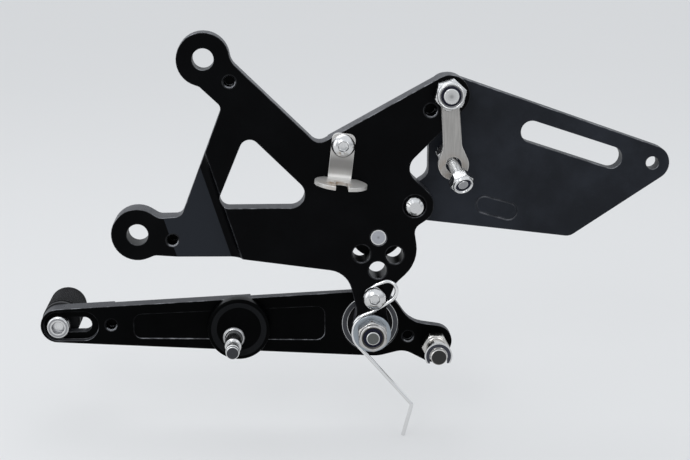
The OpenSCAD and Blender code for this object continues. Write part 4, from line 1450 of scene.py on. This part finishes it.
@dataclass
class Studio:
    """Camera at the photograph's view, pale floor, soft lamps and an even world.

    The camera's place and its right, up and backward directions are as calibrated. The floor is
    twice half wide, lies gap under the part and shows the camera and mirrors half of the colour
    haze. Lengths are in metres.
    """

    lens: float = 80.35
    place: Point = (0.0341, -0.7062, 0.0888)
    right: Point = (0.99903, -0.04415, 0.0)
    up: Point = (0.01031, 0.23338, 0.97234)
    back: Point = (-0.04293, -0.97138, 0.23361)
    half: float = 6.0
    gap: float = 0.0004
    floor_colour: Colour = (0.70, 0.71, 0.72)
    haze: Colour = (0.84, 0.855, 0.87)
    light: Colour = (0.94, 0.965, 1.0)
    sky: Colour = (0.92, 0.955, 1.0)
    lamps: tuple = (
        Lamp("key", (-0.15, 0.25, 0.75), (0.05, 0.02, -0.08), (0.9, 0.6), 2.4),
        Lamp("front", (-0.25, -0.85, 0.45), (0.06, 0.0, -0.08), (0.3, 0.3), 2.0),
        Lamp("low", (0.42, -0.80, 0.10), (0.0, 0.0, -0.08), (0.25, 0.15), 0.4),
        Lamp("rim", (-0.75, -0.3, 0.2), (0.05, 0.0, -0.08), (0.5, 0.7), 1.0),
    )

    def camera(self) -> None:
        """Camera whose matrix holds its right, up and backward directions."""
        data = bpy.data.cameras.new("view")
        data.sensor_width, data.lens = 36.0, self.lens
        data.clip_start, data.clip_end = 0.01, 50.0
        made = shown("view", data)
        turn = Matrix((self.right, self.up, self.back)).transposed().to_4x4()
        made.matrix_world = Matrix.Translation(self.place) @ turn
        bpy.context.scene.camera = made

    def floor(self) -> None:
        """Wide pale floor just under the part."""
        lo, hi = cad_box
        middle = (lo + hi) / 2
        corners = [(middle.x + i * self.half, middle.y + j * self.half, lo.z - self.gap)
                   for i, j in ((-1, -1), (1, -1), (1, 1), (-1, 1))]
        data = bpy.data.meshes.new("floor")
        data.from_pydata(corners, [], [(0, 1, 2, 3)])
        made = shown("floor", data)
        g = Graph(bpy.data.materials.new("floor_finish"))
        colour = g.blend(g.noise(3, 3), self.floor_colour,
                         tuple(c * 0.97 for c in self.floor_colour))
        lit = g.surface(Base_Color=colour, Roughness=0.8, Specular_IOR_Level=0.2)
        glow = g.glow("Emission", self.haze, 1.0)
        data.materials.append(g.end(g.mixed(g.math("MULTIPLY", g.seen(), 0.5), lit, glow)))

    def world(self) -> None:
        """Even light from all round; camera and mirror rays see the pale background."""
        g = Graph(bpy.data.worlds.new("studio"))
        rise = g.spread(g.toward(g.way, (0, 0, 1)), -0.05, 0.5, 0.42, 1.0, "LINEAR")
        behind = g.spread(g.toward(g.way, (0, 1, 0)), 0.35, 0.8, 0.42, 0.95, "LINEAR")
        light = g.glow("Background", self.light, 0.72)
        sky = g.glow("Background", self.sky, g.math("MAXIMUM", rise, behind))
        bpy.context.scene.world = g.end(g.mixed(g.seen(), light, sky))

    def make(self) -> None:
        """Builds the stage."""
        self.camera()
        self.floor()
        for lamp in self.lamps:
            lamp.make()
        self.world()
        bpy.context.scene.view_settings.view_transform = "Standard"


class RearSet:
    """The whole part: dresses every node and puts the finer pieces in their places."""

    milled = (
        # The plate's ramp, given by its normal, is painted lighter, as if lit
        Milled("main_plate", Body.BASE, Slot.PLATE, 0.32, (0.2426, -0.9670, 0.0779),
               (Hole(0.0, 0.0, 5.0), Hole(-32.1, -81.9, 5.0), Hole(12.0, -10.4, 2.5, 0.7),
                Hole(-15.8, -84.7, 2.5, 0.85), Hole(105.3, -24.3, 2.9, 0.5),
                Hole(80.95, -100.9, 4.2), Hole(73.15, -92.8, 4.2), Hole(88.95, -93.6, 4.2))),
        Milled("heel_guard", Body.BASE, Slot.GUARD, 0.35),
        Milled("stay_link", Body.BASE, Slot.LINK, 0.22),
        Milled("switch_bracket", Body.BASE, Slot.LINK, 0.18),
        Milled("brake_lever", Body.LEVER, Slot.PLATE, 0.25,
               holes=(Hole(-47.3, -129.7, 2.5, 0.5), Hole(96.6, -137.4, 2.5, 0.5))),
    )

    def make(self) -> None:
        """Builds the part."""
        finishes = Finishes()
        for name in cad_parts:
            first = bpy.data.objects[name].material_slots[0].material.name.split(".")[0]
            Dress.node(name, finishes.of_slot(Slot(first)))
        Dress.node("peg_bolt", finishes.peg_bolt)
        own = {"switch_bracket": finishes.bracket, "brake_lever": finishes.lever}
        for piece in self.milled:
            piece.make(own.get(piece.node, finishes.of_slot(piece.slot)))
        Fasteners(finishes).make()
        PivotStack(finishes).make()
        LeverTrim(finishes).make()
        Pegs(finishes.grip).make()


def main() -> None:
    """Builds the part and its stage."""
    logging.basicConfig(level=logging.INFO, format="%(message)s")
    RearSet().make()
    Studio().make()


if __name__ == "__main__":
    main()
